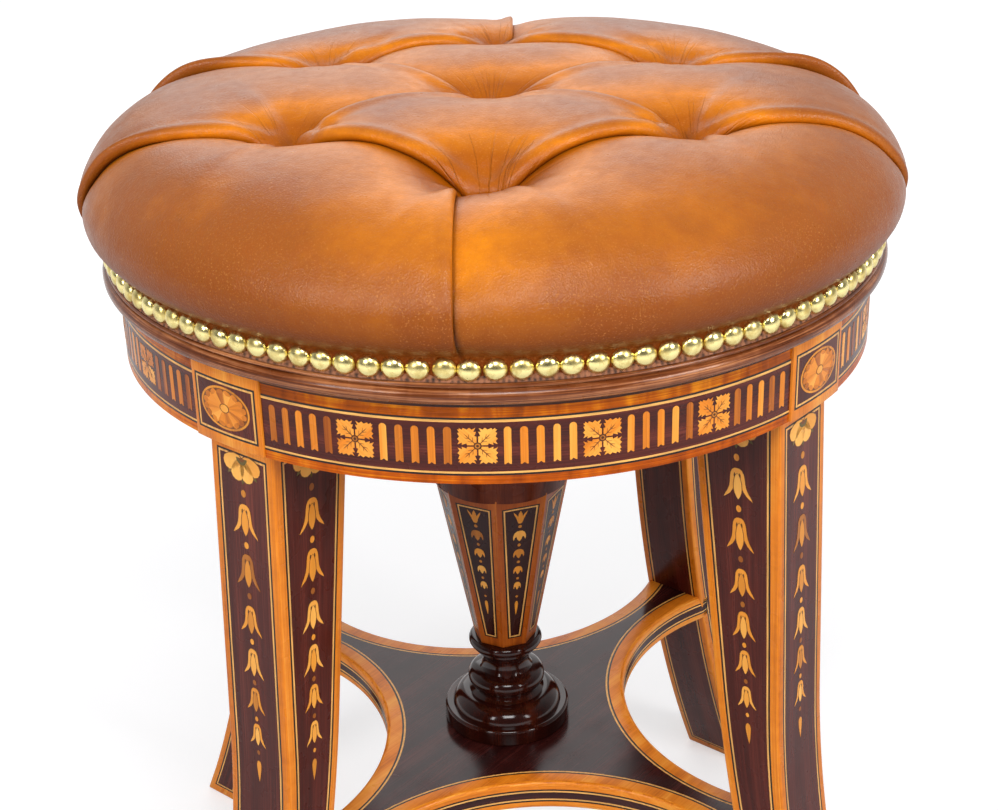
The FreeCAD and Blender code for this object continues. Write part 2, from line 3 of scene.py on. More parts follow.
import logging
import math
import random
from dataclasses import dataclass, field
from enum import Enum
from itertools import product
from typing import Any, Callable, Sequence

import bmesh
import bpy
import numpy as np
from mathutils import Matrix, Vector, geometry, noise


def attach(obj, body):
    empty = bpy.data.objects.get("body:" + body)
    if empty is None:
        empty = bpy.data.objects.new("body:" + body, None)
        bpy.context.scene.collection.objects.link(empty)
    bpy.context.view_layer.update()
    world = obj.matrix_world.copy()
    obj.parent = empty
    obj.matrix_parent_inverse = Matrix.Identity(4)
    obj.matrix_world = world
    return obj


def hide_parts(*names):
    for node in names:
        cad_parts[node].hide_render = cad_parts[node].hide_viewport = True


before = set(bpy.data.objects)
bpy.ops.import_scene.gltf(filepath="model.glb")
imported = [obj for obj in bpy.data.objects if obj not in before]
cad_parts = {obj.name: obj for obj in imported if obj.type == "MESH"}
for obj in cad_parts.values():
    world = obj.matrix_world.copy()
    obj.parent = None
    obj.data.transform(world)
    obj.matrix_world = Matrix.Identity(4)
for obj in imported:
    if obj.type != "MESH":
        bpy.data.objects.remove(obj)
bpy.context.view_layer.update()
LOG = logging.getLogger("piano_stool")
MM = 0.001
Array = np.ndarray
Piece = bpy.types.Object
Socket = bpy.types.NodeSocket
Sizes = tuple[float, ...]
Point = tuple[float, float]
Points = tuple[Point, ...]
Triple = tuple[float, float, float]
Colour = Triple
Drape = Callable[[float, float, float], Vector]
QUARTERS = {"front_left": -135.0, "front_right": -45.0, "back_right": 45.0, "back_left": 135.0}
SIDES = {"front": -90.0, "right": 0.0, "back": 90.0, "left": 180.0}


def linear(red: float, green: float, blue: float) -> tuple[float, float, float, float]:
    """The scene-linear colour, with a full alpha, of a screen colour from 0 to 255."""
    shares = [value / 255.0 for value in (red, green, blue)]
    return (*(s / 12.92 if s <= 0.04045 else ((s + 0.055) / 1.055) ** 2.4 for s in shares), 1.0)


# Node graphs and finishes

class Pattern(Enum):
    """Which way a wood's grain runs over a piece."""

    GRAIN = "along the piece's own grain map"
    UPRIGHT = "up the piece"
    ROUND = "round the stool"
    ALONG_X = "across the stool from left to right"
    ALONG_Y = "across the stool from front to back"


class Graph:
    """A node tree being wired up towards its last shader."""

    def __init__(self, owner: bpy.types.Material | bpy.types.World, last: str) -> None:
        """Opens the owner's node tree.

        Args:
            owner: the material or world.
            last: the name of the shader at its end.
        """
        owner.use_nodes = True
        self.tree = owner.node_tree
        self.shader = self.tree.nodes[last]

    def plug(self, socket: Socket, value: Any) -> None:
        """Links or sets one input socket.

        Args:
            socket: the input.
            value: an output socket to link, or a plain value.
        """
        if isinstance(value, Socket):
            self.tree.links.new(value, socket)
        else:
            socket.default_value = value

    def node(self, kind: str, inputs: dict | None = None, **settings: Any) -> bpy.types.Node:
        """Adds a node.

        Args:
            kind: the shader node's type.
            inputs: values or sockets by input name or number.
            **settings: the node's own settings.

        Returns:
            The node.
        """
        node = self.tree.nodes.new(f"ShaderNode{kind}")
        for key, value in settings.items():
            setattr(node, key, value)
        for key, value in (inputs or {}).items():
            self.plug(node.inputs[key], value)
        return node

    def add(self, kind: str, inputs: dict | None = None, output: int = 0,
            **settings: Any) -> Socket:
        """Adds a node as above and hands back the output with a number."""
        return self.node(kind, inputs, **settings).outputs[output]

    def math(self, how: str, *terms: Any) -> Socket:
        """Works through sockets or numbers from left to right.

        Args:
            how: the operation.
            *terms: one socket, or two or more sockets or numbers.

        Returns:
            The result's socket.
        """
        if len(terms) == 1:
            return self.add("Math", {0: terms[0]}, operation=how)
        total = terms[0]
        for term in terms[1:]:
            total = self.add("Math", {0: total, 1: term}, operation=how)
        return total

    def sum(self, *terms: Any) -> Socket:
        """Adds up sockets or numbers."""
        return self.math("ADD", *terms)

    def times(self, first: Any, second: Any) -> Socket:
        """The product of two sockets or numbers."""
        return self.math("MULTIPLY", first, second)

    def spread(self, value: Any, low: Any, high: float, start: float = 0.0,
               end: float = 1.0) -> Socket:
        """Maps a value from start..end to low..high."""
        return self.add("MapRange", {"Value": value, "From Min": start, "From Max": end,
                                               "To Min": low, "To Max": high})

    def place(self) -> Socket:
        """The place on the piece in metres."""
        return self.add("TexCoord", output=3)

    def mark(self, name: str, output: int = 2) -> Socket:
        """A value that the mesh carries, as a number or, with output 1, as a vector."""
        return self.add("Attribute", output=output, attribute_name=name)

    def stretched(self, vector: Any, along: float, across: float,
                  through: float) -> Socket:
        """A vector scaled on its three axes, in repeats to the metre."""
        return self.add("Mapping", {"Vector": vector, "Scale": (along, across, through)})

    def clouds(self, vector: Any, scale: float = 1.0, detail: float = 3.0,
               rough: float = 0.5, twist: float = 0.0) -> Socket:
        """Noise on a vector."""
        return self.add("TexNoise", {"Vector": vector, "Scale": scale, "Detail": detail,
                                               "Roughness": rough, "Distortion": twist})

    def ramp(self, share: Any, stops: Sequence[tuple[float, Colour]]) -> Socket:
        """Colours along a value.

        Args:
            share: the value.
            stops: places and screen colours, in order.

        Returns:
            The colour socket.
        """
        node = self.node("ValToRGB", {0: share})
        while len(node.color_ramp.elements) < len(stops):
            node.color_ramp.elements.new(0.5)
        for element, (place, colour) in zip(node.color_ramp.elements, stops):
            element.position, element.color = place, linear(*colour)
        return node.outputs[0]

    def mix(self, share: Any, first: Any, second: Colour) -> Socket:
        """Mixes a screen colour into a colour socket."""
        return self.add("Mix", {0: share, 6: first, 7: linear(*second)}, output=2,
                        data_type="RGBA")

    def bump(self, height: Any, distance: float, strength: float = 1.0,
             over: Any = None) -> Socket:
        """A surface normal from a height of that distance in metres, over another's if given."""
        inputs = {"Height": height, "Distance": distance, "Strength": strength}
        return self.add("Bump", inputs if over is None else {**inputs, "Normal": over})

    def coordinates(self, pattern: Pattern) -> Socket:
        """A vector whose X runs along the grain, in metres.

        Args:
            pattern: the way of the grain.

        Returns:
            The vector socket.
        """
        if pattern is Pattern.GRAIN:
            return self.add("UVMap", uv_map="Grain")
        place = self.place()
        if pattern is Pattern.ALONG_X:
            return place
        x, y, z = self.node("SeparateXYZ", {0: place}).outputs
        if pattern is Pattern.ROUND:
            angle = self.math("ARCTAN2", x, self.times(y, -1.0))
            radius = self.add("VectorMath", {0: place}, 1, operation="LENGTH")
            order = (self.times(angle, 0.18), z, radius)
        else:
            order = (z, x, y) if pattern is Pattern.UPRIGHT else (y, x, z)
        return self.add("CombineXYZ", dict(enumerate(order)))

    def finish(self, inputs: dict[str, Any]) -> None:
        """Sets or links inputs of the last shader by name."""
        for key, value in inputs.items():
            self.plug(self.shader.inputs[key], value)


class Finish:
    """A finish whose material is made once and shared."""

    made: dict[str, bpy.types.Material] = {}
    name: str

    def draw(self, g: Graph) -> None:
        """Wires the material up; each finish has its own way."""
        raise NotImplementedError

    def material(self) -> bpy.types.Material:
        """The finish's one material.

        Returns:
            The material, drawn at the first call.
        """
        if self.name not in Finish.made:
            Finish.made[self.name] = bpy.data.materials.new(self.name)
            Finish.made[self.name].use_nodes = True
            self.draw(Graph(Finish.made[self.name], "Principled BSDF"))
        return Finish.made[self.name]


@dataclass(frozen=True)
class Wood(Finish):
    """A wood or veneer, with its streaks, its figure and its polish."""

    name: str
    dark: Colour
    body: Colour
    light: Colour
    pattern: Pattern = Pattern.GRAIN
    streak: float = 0.5
    figure: float = 0.0
    rough: float = 0.3
    coat: float = 0.05
    pores: float = 0.12
    shine: float = 0.22

    def draw(self, g: Graph) -> None:
        """Streaks, slow changes of tone, cross figure, and the piece's own tone.

        Args:
            g: the material's graph.
        """
        place = g.coordinates(self.pattern)
        fine = g.clouds(g.stretched(place, 22, 1500, 500), detail=3.0, rough=0.6)
        broad = g.clouds(g.stretched(place, 4, 95, 60), detail=2.0, twist=0.3)
        cross = g.clouds(g.stretched(place, 130, 22, 30), detail=2.0, twist=0.6)
        tone = g.sum(g.times(g.sum(fine, -0.5), self.streak), g.times(g.sum(broad, -0.5), 0.9),
                     g.times(g.sum(cross, -0.5), self.figure), g.mark("tone"), 0.5)
        wax = g.clouds(place, 45.0, 3.0)
        wave = g.bump(g.clouds(place, 24.0, 2.0), 0.0006, 0.25)
        g.finish({"Base Color": g.ramp(tone, [(0.12, self.dark), (0.5, self.body),
                                              (0.88, self.light)]),
                  "Roughness": g.spread(wax, self.rough - 0.05, self.rough + 0.08, 0.35, 0.65),
                  "Normal": g.bump(fine, 0.00005, self.pores, wave), "Coat Weight": self.coat,
                  "Coat Roughness": 0.12, "Specular IOR Level": self.shine})


@dataclass(frozen=True)
class Line(Finish):
    """A stringing line of one plain wood."""

    name: str
    body: Colour
    spread: float = 0.12

    def draw(self, g: Graph) -> None:
        """One colour with slight changes along the line.

        Args:
            g: the material's graph.
        """
        change = g.clouds(g.stretched(g.coordinates(Pattern.GRAIN), 60, 900, 1), detail=2.0)
        low, high = (tuple(min(255.0, v * (1 + way * self.spread)) for v in self.body)
                     for way in (-1, 1))
        g.finish({"Base Color": g.ramp(change, [(0.3, low), (0.7, high)]),
                  "Roughness": g.spread(change, 0.28, 0.38),
                  "Normal": g.bump(change, 0.00003, 0.2), "Coat Weight": 0.05,
                  "Coat Roughness": 0.12, "Specular IOR Level": 0.25})


@dataclass(frozen=True)
class Leather(Finish):
    """Tan hide, finely pored: orange in its hollows and browner on its crests, partly as painted
    light, with painted shade at its foot and in its creases.
    """

    name: str = "tan_hide"
    # hollow and crest are partly painted light: bounced light and shade in the hollows, a dulled
    # sheen on the crests; the hollows' orange is partly less wear.
    hollow: Colour = (170, 88, 0)
    body: Colour = (222, 129, 12)
    crest: Colour = (154, 84, 28)
    cloud: Colour = (156, 78, 12)
    mottle: Colour = (156, 72, 6)
    # The foot colour is painted shade: the hide darkens towards its foot, which faces down and away
    # from the lamps.
    foot: Colour = (104, 40, 0)
    # The next colour is painted shade in the tuck creases, under each roll.
    seam: Colour = (58, 22, 5)
    scuff: Colour = (228, 158, 84)
    foot_shade_levels: Point = (0.436, 0.474)
    shine_levels: Point = (0.438, 0.464)

    def draw(self, g: Graph) -> None:
        """Colour by height of the pads with painted light, painted shade at the foot and in the
        tuck creases, pores, creases, scuffs and specks.

        Args:
            g: the material's graph.
        """
        place = g.place()
        level = g.add("SeparateXYZ", {0: place}, output=2)
        cloud = g.clouds(place, 16.0, 5.0, 0.6)
        mottle = g.clouds(place, 170.0, 4.0, 0.65)
        speck = g.clouds(place, 1300.0, 2.0)
        # Colour by pad height, partly painted light: bounced light and shade in the hollows, a
        # dulled sheen on the crests.
        share = g.sum(g.mark("crest"), g.times(g.sum(cloud, -0.5), 0.7))
        base = g.ramp(share, [(0.05, self.hollow), (0.55, self.body), (0.95, self.crest)])
        base = g.mix(g.spread(cloud, 0.0, 0.3, 0.5, 0.68), base, self.cloud)
        base = g.mix(g.spread(mottle, 0.0, 0.3, 0.35, 0.7), base, self.mottle)
        # Painted shade: darker towards the hide's foot.
        base = g.mix(g.spread(level, 0.8, 0.0, *self.foot_shade_levels), base, self.foot)
        scuffs = g.times(g.spread(speck, 0.0, 0.32, 0.58, 0.72),
                         g.spread(cloud, 0.25, 1.0, 0.4, 0.6))
        base = g.mix(scuffs, base, self.scuff)
        # Painted shade in the tuck creases, under each roll.
        base = g.mix(g.times(g.mark("seam"), 0.95), base, self.seam)
        pores = g.add("TexVoronoi", {"Vector": place, "Scale": 1150.0}, feature="F1")
        normal = g.bump(g.clouds(place, 60.0, 4.0), 0.0007, 0.4)
        normal = g.bump(self.tuft_wrinkles(g), 0.0009, 0.7, normal)
        normal = g.bump(g.clouds(place, 420.0, 4.0, 0.7, 0.4), 0.00034, 0.6, normal)
        g.finish({"Base Color": base, "Roughness": g.spread(mottle, 0.27, 0.4, 0.3, 0.7),
                  "Normal": g.bump(pores, 0.0002, 0.5, normal),
                  "Specular IOR Level": g.spread(level, 0.06, 0.26, *self.shine_levels)})

    @staticmethod
    def tuft_wrinkles(g: Graph) -> Socket:
        """Thin grooves that run out from each tuft.

        Args:
            g: the material's graph.

        Returns:
            The height socket.
        """
        way = g.mark("pull", 1)
        flat = g.add("VectorMath", {0: way, 1: (1.0, 1.0, 0.0)}, operation="MULTIPLY")
        unit = g.add("VectorMath", {0: flat}, operation="NORMALIZE")
        turned = g.add("VectorMath", {0: unit, 1: way}, operation="ADD")
        grooves = g.math("ABSOLUTE", g.sum(g.clouds(turned, 4.2, 1.5, 0.5, 0.5), -0.52))
        return g.times(g.sum(g.spread(grooves, 0.0, 1.0, 0.0, 0.022), -1.0), g.mark("draw"))


@dataclass(frozen=True)
class Metal(Finish):
    """A metal with faint stains and scratches."""

    name: str
    bright: Colour
    stain: Colour
    rough: float = 0.2
    metallic: float = 1.0

    def draw(self, g: Graph) -> None:
        """Stained colour with uneven roughness.

        Args:
            g: the material's graph.
        """
        stain = g.clouds(g.place(), 160.0, 4.0, 0.65)
        g.finish({"Base Color": g.ramp(stain, [(0.35, self.stain), (0.55, self.bright)]),
                  "Roughness": g.spread(stain, self.rough + 0.16, self.rough, 0.35, 0.6),
                  "Normal": g.bump(g.clouds(g.place(), 900.0, 3.0), 0.00004, 0.3),
                  "Metallic": self.metallic})


@dataclass(frozen=True)
class Fibre(Finish):
    """Scrim, twine or a ragged leather edge: matt, with crossing threads and specks."""

    name: str
    dark: Colour
    light: Colour
    threads: float = 700.0
    depth: float = 0.0004

    def draw(self, g: Graph) -> None:
        """Crossing threads and specks.

        Args:
            g: the material's graph.
        """
        waves = {"Vector": g.place(), "Scale": self.threads / 6.3, "Distortion": 2.0, "Detail": 2.0}
        weave = [g.add("TexWave", waves, output=1, bands_direction=axis) for axis in "XY"]
        specks = g.clouds(g.place(), self.threads, 5.0, 0.75)
        height = g.sum(g.times(g.sum(*weave), 0.3), g.times(specks, 0.8))
        g.finish({"Base Color": g.ramp(height, [(0.35, self.dark), (0.85, self.light)]),
                  "Roughness": g.spread(specks, 0.75, 0.95), "Sheen Weight": 0.1,
                  "Normal": g.bump(height, self.depth, 0.8)})


@dataclass(frozen=True)
class Backdrop(Finish):
    """The white floor: it takes the stool's shadow and shows white where it is lit."""

    name: str = "white_floor"
    near: float = 0.12
    near_seen: float = 0.35
    far: float = 0.7
    reach: Point = (0.35, 1.5)

    def draw(self, g: Graph) -> None:
        """Diffuse white, with more white where a camera, mirror or glass ray meets it.

        Args:
            g: the material's graph.
        """
        rays = g.node("LightPath").outputs
        seen = g.math("MAXIMUM", rays["Is Camera Ray"], rays["Is Glossy Ray"],
                      rays["Is Transmission Ray"])
        away = g.add("VectorMath", {0: g.place()}, 1, operation="LENGTH")
        near = g.sum(self.near, g.times(rays["Is Camera Ray"], self.near_seen))
        g.finish({"Base Color": linear(206, 206, 208), "Roughness": 0.8,
                  "Emission Color": (1.0, 1.0, 1.0, 1.0), "Specular IOR Level": 0.1,
                  "Emission Strength": g.times(seen, g.spread(away, near, self.far, *self.reach))})


SATINWOOD = Wood("satinwood_border", (160, 73, 10), (222, 126, 27), (246, 172, 68), figure=0.25)
SATIN_ROUND = Wood("satinwood_frieze", (116, 42, 0), (190, 86, 0), (240, 150, 18),
                   Pattern.ROUND, streak=0.8, figure=0.6, rough=0.24, coat=0.0, shine=0.14)
# Painted shade under the seat's moulding: the frieze's upper satinwood strip is darker, and the
# near-black top strip is partly grime and partly painted shadow in the gap.
SATIN_PAINTED_SHADE = Wood("satinwood_upper_strip_painted_shade", (92, 34, 0), (172, 80, 0), (236, 146, 16),
                  Pattern.ROUND, streak=0.8, figure=0.9, rough=0.24, coat=0.0, shine=0.14)
SHADOW_AND_GRIME = Wood("painted_shadow_and_grime_edge", (20, 8, 3), (44, 18, 6), (120, 62, 18), Pattern.ROUND, streak=0.8)
# Painted shade: the column's satinwood and mahogany are darker copies because the column stands in
# the seat's shadow.
SATIN_COLUMN_SHADE = Wood("satinwood_column", (100, 42, 4), (160, 74, 14), (206, 116, 36), figure=0.2)
MAHOGANY_COLUMN_SHADE = Wood("mahogany_column", (24, 8, 8), (48, 18, 16), (70, 32, 26), streak=0.7,
                    rough=0.27)
MAHOGANY = Wood("mahogany_panel", (36, 9, 5), (76, 24, 15), (116, 50, 36), streak=0.9, rough=0.27)
MAHOGANY_FLAT = Wood("mahogany_platform", (24, 6, 6), (50, 17, 15), (80, 35, 30), streak=0.8,
                     figure=0.2, rough=0.2, coat=0.05, shine=0.26)
TURNED = Wood("mahogany_turned", (18, 4, 2), (44, 12, 6), (78, 30, 16), Pattern.UPRIGHT,
              streak=0.5, rough=0.14, coat=0.4)
HEAD = Wood("mahogany_head", (48, 12, 3), (86, 30, 8), (122, 54, 22), Pattern.UPRIGHT,
            streak=0.6, figure=0.3, rough=0.26, coat=0.0, shine=0.16)
RIM = Wood("mahogany_rim", (44, 14, 4), (112, 56, 24), (190, 124, 78), Pattern.ROUND, streak=1.5,
           figure=0.25, rough=0.24, coat=0.2, pores=0.6)
INLAY = Wood("satinwood_inlay", (150, 84, 26), (230, 148, 48), (252, 192, 96), streak=0.35)
AMBER = Wood("amber_inlay", (140, 66, 12), (226, 132, 34), (252, 186, 84), streak=0.4)
SHADE = Wood("scorched_veneer", (70, 36, 12), (112, 62, 24), (150, 90, 40), streak=0.3)
LEAF = Wood("stained_leaf", (54, 44, 16), (96, 82, 34), (128, 108, 50), streak=0.3)
BOX = Line("boxwood_line", (222, 164, 88))
EBONY = Line("ebony_line", (26, 15, 10), 0.3)
BEECH_X = Wood("beech_left_right", (140, 98, 58), (178, 134, 88), (204, 164, 118),
               Pattern.ALONG_X, rough=0.6, coat=0.0, pores=0.4)
BEECH_Y = Wood("beech_front_back", (140, 98, 58), (178, 134, 88), (204, 164, 118),
               Pattern.ALONG_Y, rough=0.6, coat=0.0, pores=0.4)
HIDE = Leather()
BRASS = Metal("polished_brass", (242, 226, 156), (206, 180, 106), 0.21)
STEEL = Metal("turned_steel", (176, 176, 178), (120, 116, 110), 0.26)
IRON = Metal("blacked_iron", (62, 60, 60), (46, 38, 32), 0.45, 0.85)
SCRIM = Fibre("hair_scrim", (96, 74, 46), (170, 146, 104), 900.0)
TWINE = Fibre("linen_twine", (128, 106, 70), (196, 174, 130), 1400.0, 0.0002)
LEDGE = Fibre("ragged_ledge", (52, 26, 16), (150, 96, 66), 800.0, 0.0006)


# Modelling by hand

class Bench:
    """The modelling moves that every piece is made with."""

    weld = 1e-6

    @staticmethod
    def clear() -> None:
        """Leaves edit mode with nothing selected."""
        if bpy.context.object and bpy.context.object.mode != "OBJECT":
            bpy.ops.object.mode_set(mode="OBJECT")
        bpy.ops.object.select_all(action="DESELECT")

    @staticmethod
    def take(obj: Piece) -> None:
        """Selects one object alone and makes it active.

        Args:
            obj: the object.
        """
        Bench.clear()
        obj.select_set(True)
        bpy.context.view_layer.objects.active = obj

    @staticmethod
    def edit(obj: Piece) -> None:
        """Opens one object in edit mode with all of it selected.

        Args:
            obj: the object.
        """
        Bench.take(obj)
        bpy.ops.object.mode_set(mode="EDIT")
        bpy.ops.mesh.select_all(action="SELECT")

    @staticmethod
    def settle(name: str) -> Piece:
        """Names the new primitive and puts its place into its mesh.

        Args:
            name: the piece's name.

        Returns:
            The object.
        """
        obj = bpy.context.object
        obj.name = obj.data.name = name
        bpy.ops.object.transform_apply(location=True, rotation=True, scale=True)
        return obj

    @staticmethod
    def show(name: str, mesh: bpy.types.Mesh | bmesh.types.BMesh) -> Piece:
        """Puts a mesh into the scene.

        Args:
            name: the piece's name.
            mesh: its mesh, or a mesh being worked on, which is then freed.

        Returns:
            The object.
        """
        if isinstance(mesh, bmesh.types.BMesh):
            worked, mesh = mesh, bpy.data.meshes.new(name)
            worked.to_mesh(mesh)
            worked.free()
        mesh.name = name
        obj = bpy.data.objects.new(name, mesh)
        bpy.context.scene.collection.objects.link(obj)
        return obj

    @staticmethod
    def box(name: str, low: Sequence[float], high: Sequence[float]) -> Piece:
        """A block between two corners.

        Args:
            name: the piece's name.
            low: its lowest corner.
            high: its highest corner.

        Returns:
            The block.
        """
        Bench.clear()
        low, high = Vector(low), Vector(high)
        bpy.ops.mesh.primitive_cube_add(size=1.0, location=(low + high) / 2)
        bpy.context.object.scale = high - low
        return Bench.settle(name)

    @staticmethod
    def face_out() -> None:
        """Turns the faces of the open piece outwards."""
        bpy.ops.mesh.select_all(action="SELECT")
        bpy.ops.mesh.normals_make_consistent(inside=False)
        Bench.clear()

    @staticmethod
    def sheet(name: str, outline: Sequence[Point], thickness: float) -> Piece:
        """A flat plate of any outline, its foot at height 0.

        Args:
            name: the piece's name.
            outline: corners in order, anticlockwise.
            thickness: its height.

        Returns:
            The plate.
        """
        Bench.clear()
        bpy.ops.mesh.primitive_circle_add(vertices=len(outline), radius=MM, fill_type="NGON")
        obj = Bench.settle(name)
        for vertex, (x, y) in zip(obj.data.vertices, outline):
            vertex.co = (x, y, 0.0)
        Bench.edit(obj)
        bpy.ops.mesh.extrude_region_move(TRANSFORM_OT_translate={"value": (0, 0, thickness)})
        Bench.face_out()
        return obj

    @staticmethod
    def chain(name: str, outline: Sequence[Point]) -> Piece:
        """A line drawn point by point in the upright plane, left open in edit mode.

        Args:
            name: the piece's name.
            outline: radius and height of each point, in order.

        Returns:
            The line.
        """
        Bench.clear()
        bpy.ops.mesh.primitive_plane_add(size=MM)
        obj = Bench.settle(name)
        Bench.edit(obj)
        bpy.ops.mesh.merge(type="CENTER")
        bpy.ops.transform.translate(value=(outline[0][0], 0.0, outline[0][1]))
        for here, there in zip(outline, outline[1:]):
            step = (there[0] - here[0], 0.0, there[1] - here[1])
            bpy.ops.mesh.extrude_region_move(TRANSFORM_OT_translate={"value": step})
        return obj

    @staticmethod
    def turned(name: str, outline: Sequence[Point], steps: int = 120) -> Piece:
        """A piece turned about the stool's axis from a closed outline of radius and height.

        Args:
            name: the piece's name.
            outline: radius and height of each corner, in order.
            steps: facets round the axis.

        Returns:
            The turned piece.
        """
        obj = Bench.chain(name, outline)
        bpy.ops.mesh.select_all(action="SELECT")
        bpy.ops.mesh.edge_face_add()
        bpy.ops.mesh.delete(type="ONLY_FACE")
        bpy.ops.mesh.select_all(action="SELECT")
        bpy.ops.mesh.spin(steps=steps, angle=math.tau, center=(0, 0, 0), axis=(0, 0, 1))
        bpy.ops.mesh.select_all(action="SELECT")
        bpy.ops.mesh.remove_doubles(threshold=Bench.weld)
        Bench.face_out()
        return obj

    @staticmethod
    def cut(obj: Piece, axis: int, places: Sequence[float]) -> None:
        """Cuts edges into a piece where planes square to an axis cross it.

        Args:
            obj: the piece.
            axis: 0, 1 or 2 for X, Y or Z.
            places: where the planes stand on that axis.
        """
        Bench.edit(obj)
        normal = [float(k == axis) for k in range(3)]
        for place in places:
            bpy.ops.mesh.select_all(action="SELECT")
            bpy.ops.mesh.bisect(plane_co=[n * place for n in normal], plane_no=normal)
        Bench.clear()

    @staticmethod
    def saw(obj: Piece, place: float, way: Sequence[float]) -> None:
        """Saws off what lies past a plane and closes the cut.

        Args:
            obj: the piece.
            place: how far from the origin the plane stands.
            way: the plane's normal, towards what is sawn off.
        """
        Bench.edit(obj)
        bpy.ops.mesh.bisect(plane_co=[n * place for n in way], plane_no=way, clear_outer=True,
                            use_fill=True)
        Bench.clear()

    @staticmethod
    def modify(obj: Piece, kind: str, **settings: Any) -> None:
        """Adds a modifier and applies it.

        Args:
            obj: the piece.
            kind: the modifier's type.
            **settings: its settings.
        """
        Bench.take(obj)
        modifier = obj.modifiers.new(kind.title(), kind)
        for key, value in settings.items():
            setattr(modifier, key, value)
        bpy.ops.object.modifier_apply(modifier=modifier.name)

    @staticmethod
    def bevel(obj: Piece, width: float, segments: int, angle: float = 60.0) -> None:
        """Rounds every edge that is sharper than an angle in degrees."""
        Bench.modify(obj, "BEVEL", width=width, segments=segments, limit_method="ANGLE",
                     angle_limit=math.radians(angle))

    @staticmethod
    def grain(obj: Piece, along: Sequence[float]) -> None:
        """Gives a flat-lying piece its grain map, in metres.

        Args:
            obj: the piece, before it is draped.
            along: the direction of the grain.
        """
        mesh, way = obj.data, Vector(along)
        layer = mesh.uv_layers.new(name="Grain")
        end_grain, side_shift = 0.3, 0.37
        for polygon in mesh.polygons:
            across = polygon.normal.cross(way)
            if across.length < end_grain:
                across = Vector((way.y, way.z, way.x))
            across.normalize()
            shift = side_shift * max(range(3), key=lambda k: abs(polygon.normal[k]))
            for loop in polygon.loop_indices:
                place = mesh.vertices[mesh.loops[loop].vertex_index].co
                layer.data[loop].uv = (place.dot(way), place.dot(across) + shift)

    @staticmethod
    def paint(obj: Piece, *finishes: Finish,
              choose: Callable[[Vector, Vector], int] | None = None) -> None:
        """Gives a piece its finish, or each face one of several.

        Args:
            obj: the piece.
            *finishes: the finishes, in slot order.
            choose: picks a slot from a face's centre and normal, the first when left out.
        """
        obj.data.materials.clear()
        for finish in finishes:
            obj.data.materials.append(finish.material())
        for polygon in obj.data.polygons:
            polygon.material_index = choose(polygon.center, polygon.normal) if choose else 0

    @staticmethod
    def drape(obj: Piece, drape: Drape) -> None:
        """Lays a flat piece on its curved surface.

        Args:
            obj: the piece.
            drape: from the flat surface to the curved one.
        """
        for vertex in obj.data.vertices:
            vertex.co = drape(*vertex.co)
        obj.data.update()

    @staticmethod
    def copy(obj: Piece, name: str, degrees: float) -> Piece:
        """A copy with its own mesh, turned about the stool's axis.

        Args:
            obj: the piece to copy.
            name: the copy's name.
            degrees: how far it is turned.

        Returns:
            The copy.
        """
        twin = Bench.show(name, obj.data.copy())
        twin.data.transform(Matrix.Rotation(math.radians(degrees), 4, "Z"))
        return twin

    @staticmethod
    def join(pieces: Sequence[Piece], name: str) -> Piece:
        """Joins pieces into the first of them.

        Args:
            pieces: the pieces.
            name: the joined piece's name.

        Returns:
            The joined piece.
        """
        Bench.take(pieces[0])
        for piece in pieces[1:]:
            piece.select_set(True)
        bpy.ops.object.join()
        pieces[0].name = pieces[0].data.name = name
        return pieces[0]

    @staticmethod
    def smooth(obj: Piece, degrees: float) -> None:
        """Smooths a piece's shading except at its sharper edges."""
        Bench.take(obj)
        bpy.ops.object.shade_smooth_by_angle(angle=math.radians(degrees))

    @staticmethod
    def hand_over(obj: Piece, body: str, slot: str, *stands_for: str) -> None:
        """Puts a finished piece on its body and reports it.

        Args:
            obj: the piece.
            body: the body that it rides on.
            slot: the record's material slot; not used.
            *stands_for: the CAD nodes that it replaces.
        """
        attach(obj, body)
        if stands_for:
            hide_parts(*stands_for)
        LOG.info("%s: %d faces on %s", obj.name, len(obj.data.polygons), body)

    @staticmethod
    def complete(obj: Piece, finish: Finish, degrees: float, body: str, slot: str,
                 *stands_for: str) -> None:
        """Dresses a piece of one finish, smooths it and hands it over.

        Args:
            obj: the piece.
            finish: its finish.
            degrees: edges sharper than this stay sharp.
            body: the body that it rides on.
            slot: the record's material slot.
            *stands_for: the CAD nodes that it replaces.
        """
        Bench.paint(obj, finish)
        Bench.smooth(obj, degrees)
        Bench.hand_over(obj, body, slot, *stands_for)


# Outlines and curves

def arc(start: Point, through: Point, end: Point, count: int = 8) -> list[Point]:
    """Points on the arc through three points, without its first.

    Args:
        start: where the arc starts.
        through: a point that it passes.
        end: where it ends.
        count: how many points.

    Returns:
        The points, the end among them.
    """
    (ax, ay), (bx, by), (cx, cy) = start, through, end
    d = 2 * (ax * (by - cy) + bx * (cy - ay) + cx * (ay - by))
    a2, b2, c2 = ax * ax + ay * ay, bx * bx + by * by, cx * cx + cy * cy
    ox = (a2 * (by - cy) + b2 * (cy - ay) + c2 * (ay - by)) / d
    oy = (a2 * (cx - bx) + b2 * (ax - cx) + c2 * (bx - ax)) / d
    first, middle, last = (math.atan2(y - oy, x - ox) for x, y in (start, through, end))
    sweep = (last - first) % math.tau
    if (middle - first) % math.tau > sweep:
        sweep -= math.tau
    radius = math.hypot(ax - ox, ay - oy)
    angles = [first + sweep * k / count for k in range(1, count + 1)]
    return [(ox + radius * math.cos(t), oy + radius * math.sin(t)) for t in angles]


def profile(*runs: Any) -> list[Point]:
    """An outline of straight runs and arcs.

    Args:
        *runs: the first point, then per straight run its end, and per arc the point that it
            passes, its end and its count of points.

    Returns:
        The outline's points.
    """
    points: list[Point] = []
    for run in runs:
        points += arc(points[-1], *run) if isinstance(run[0], tuple) else [run]
    return points


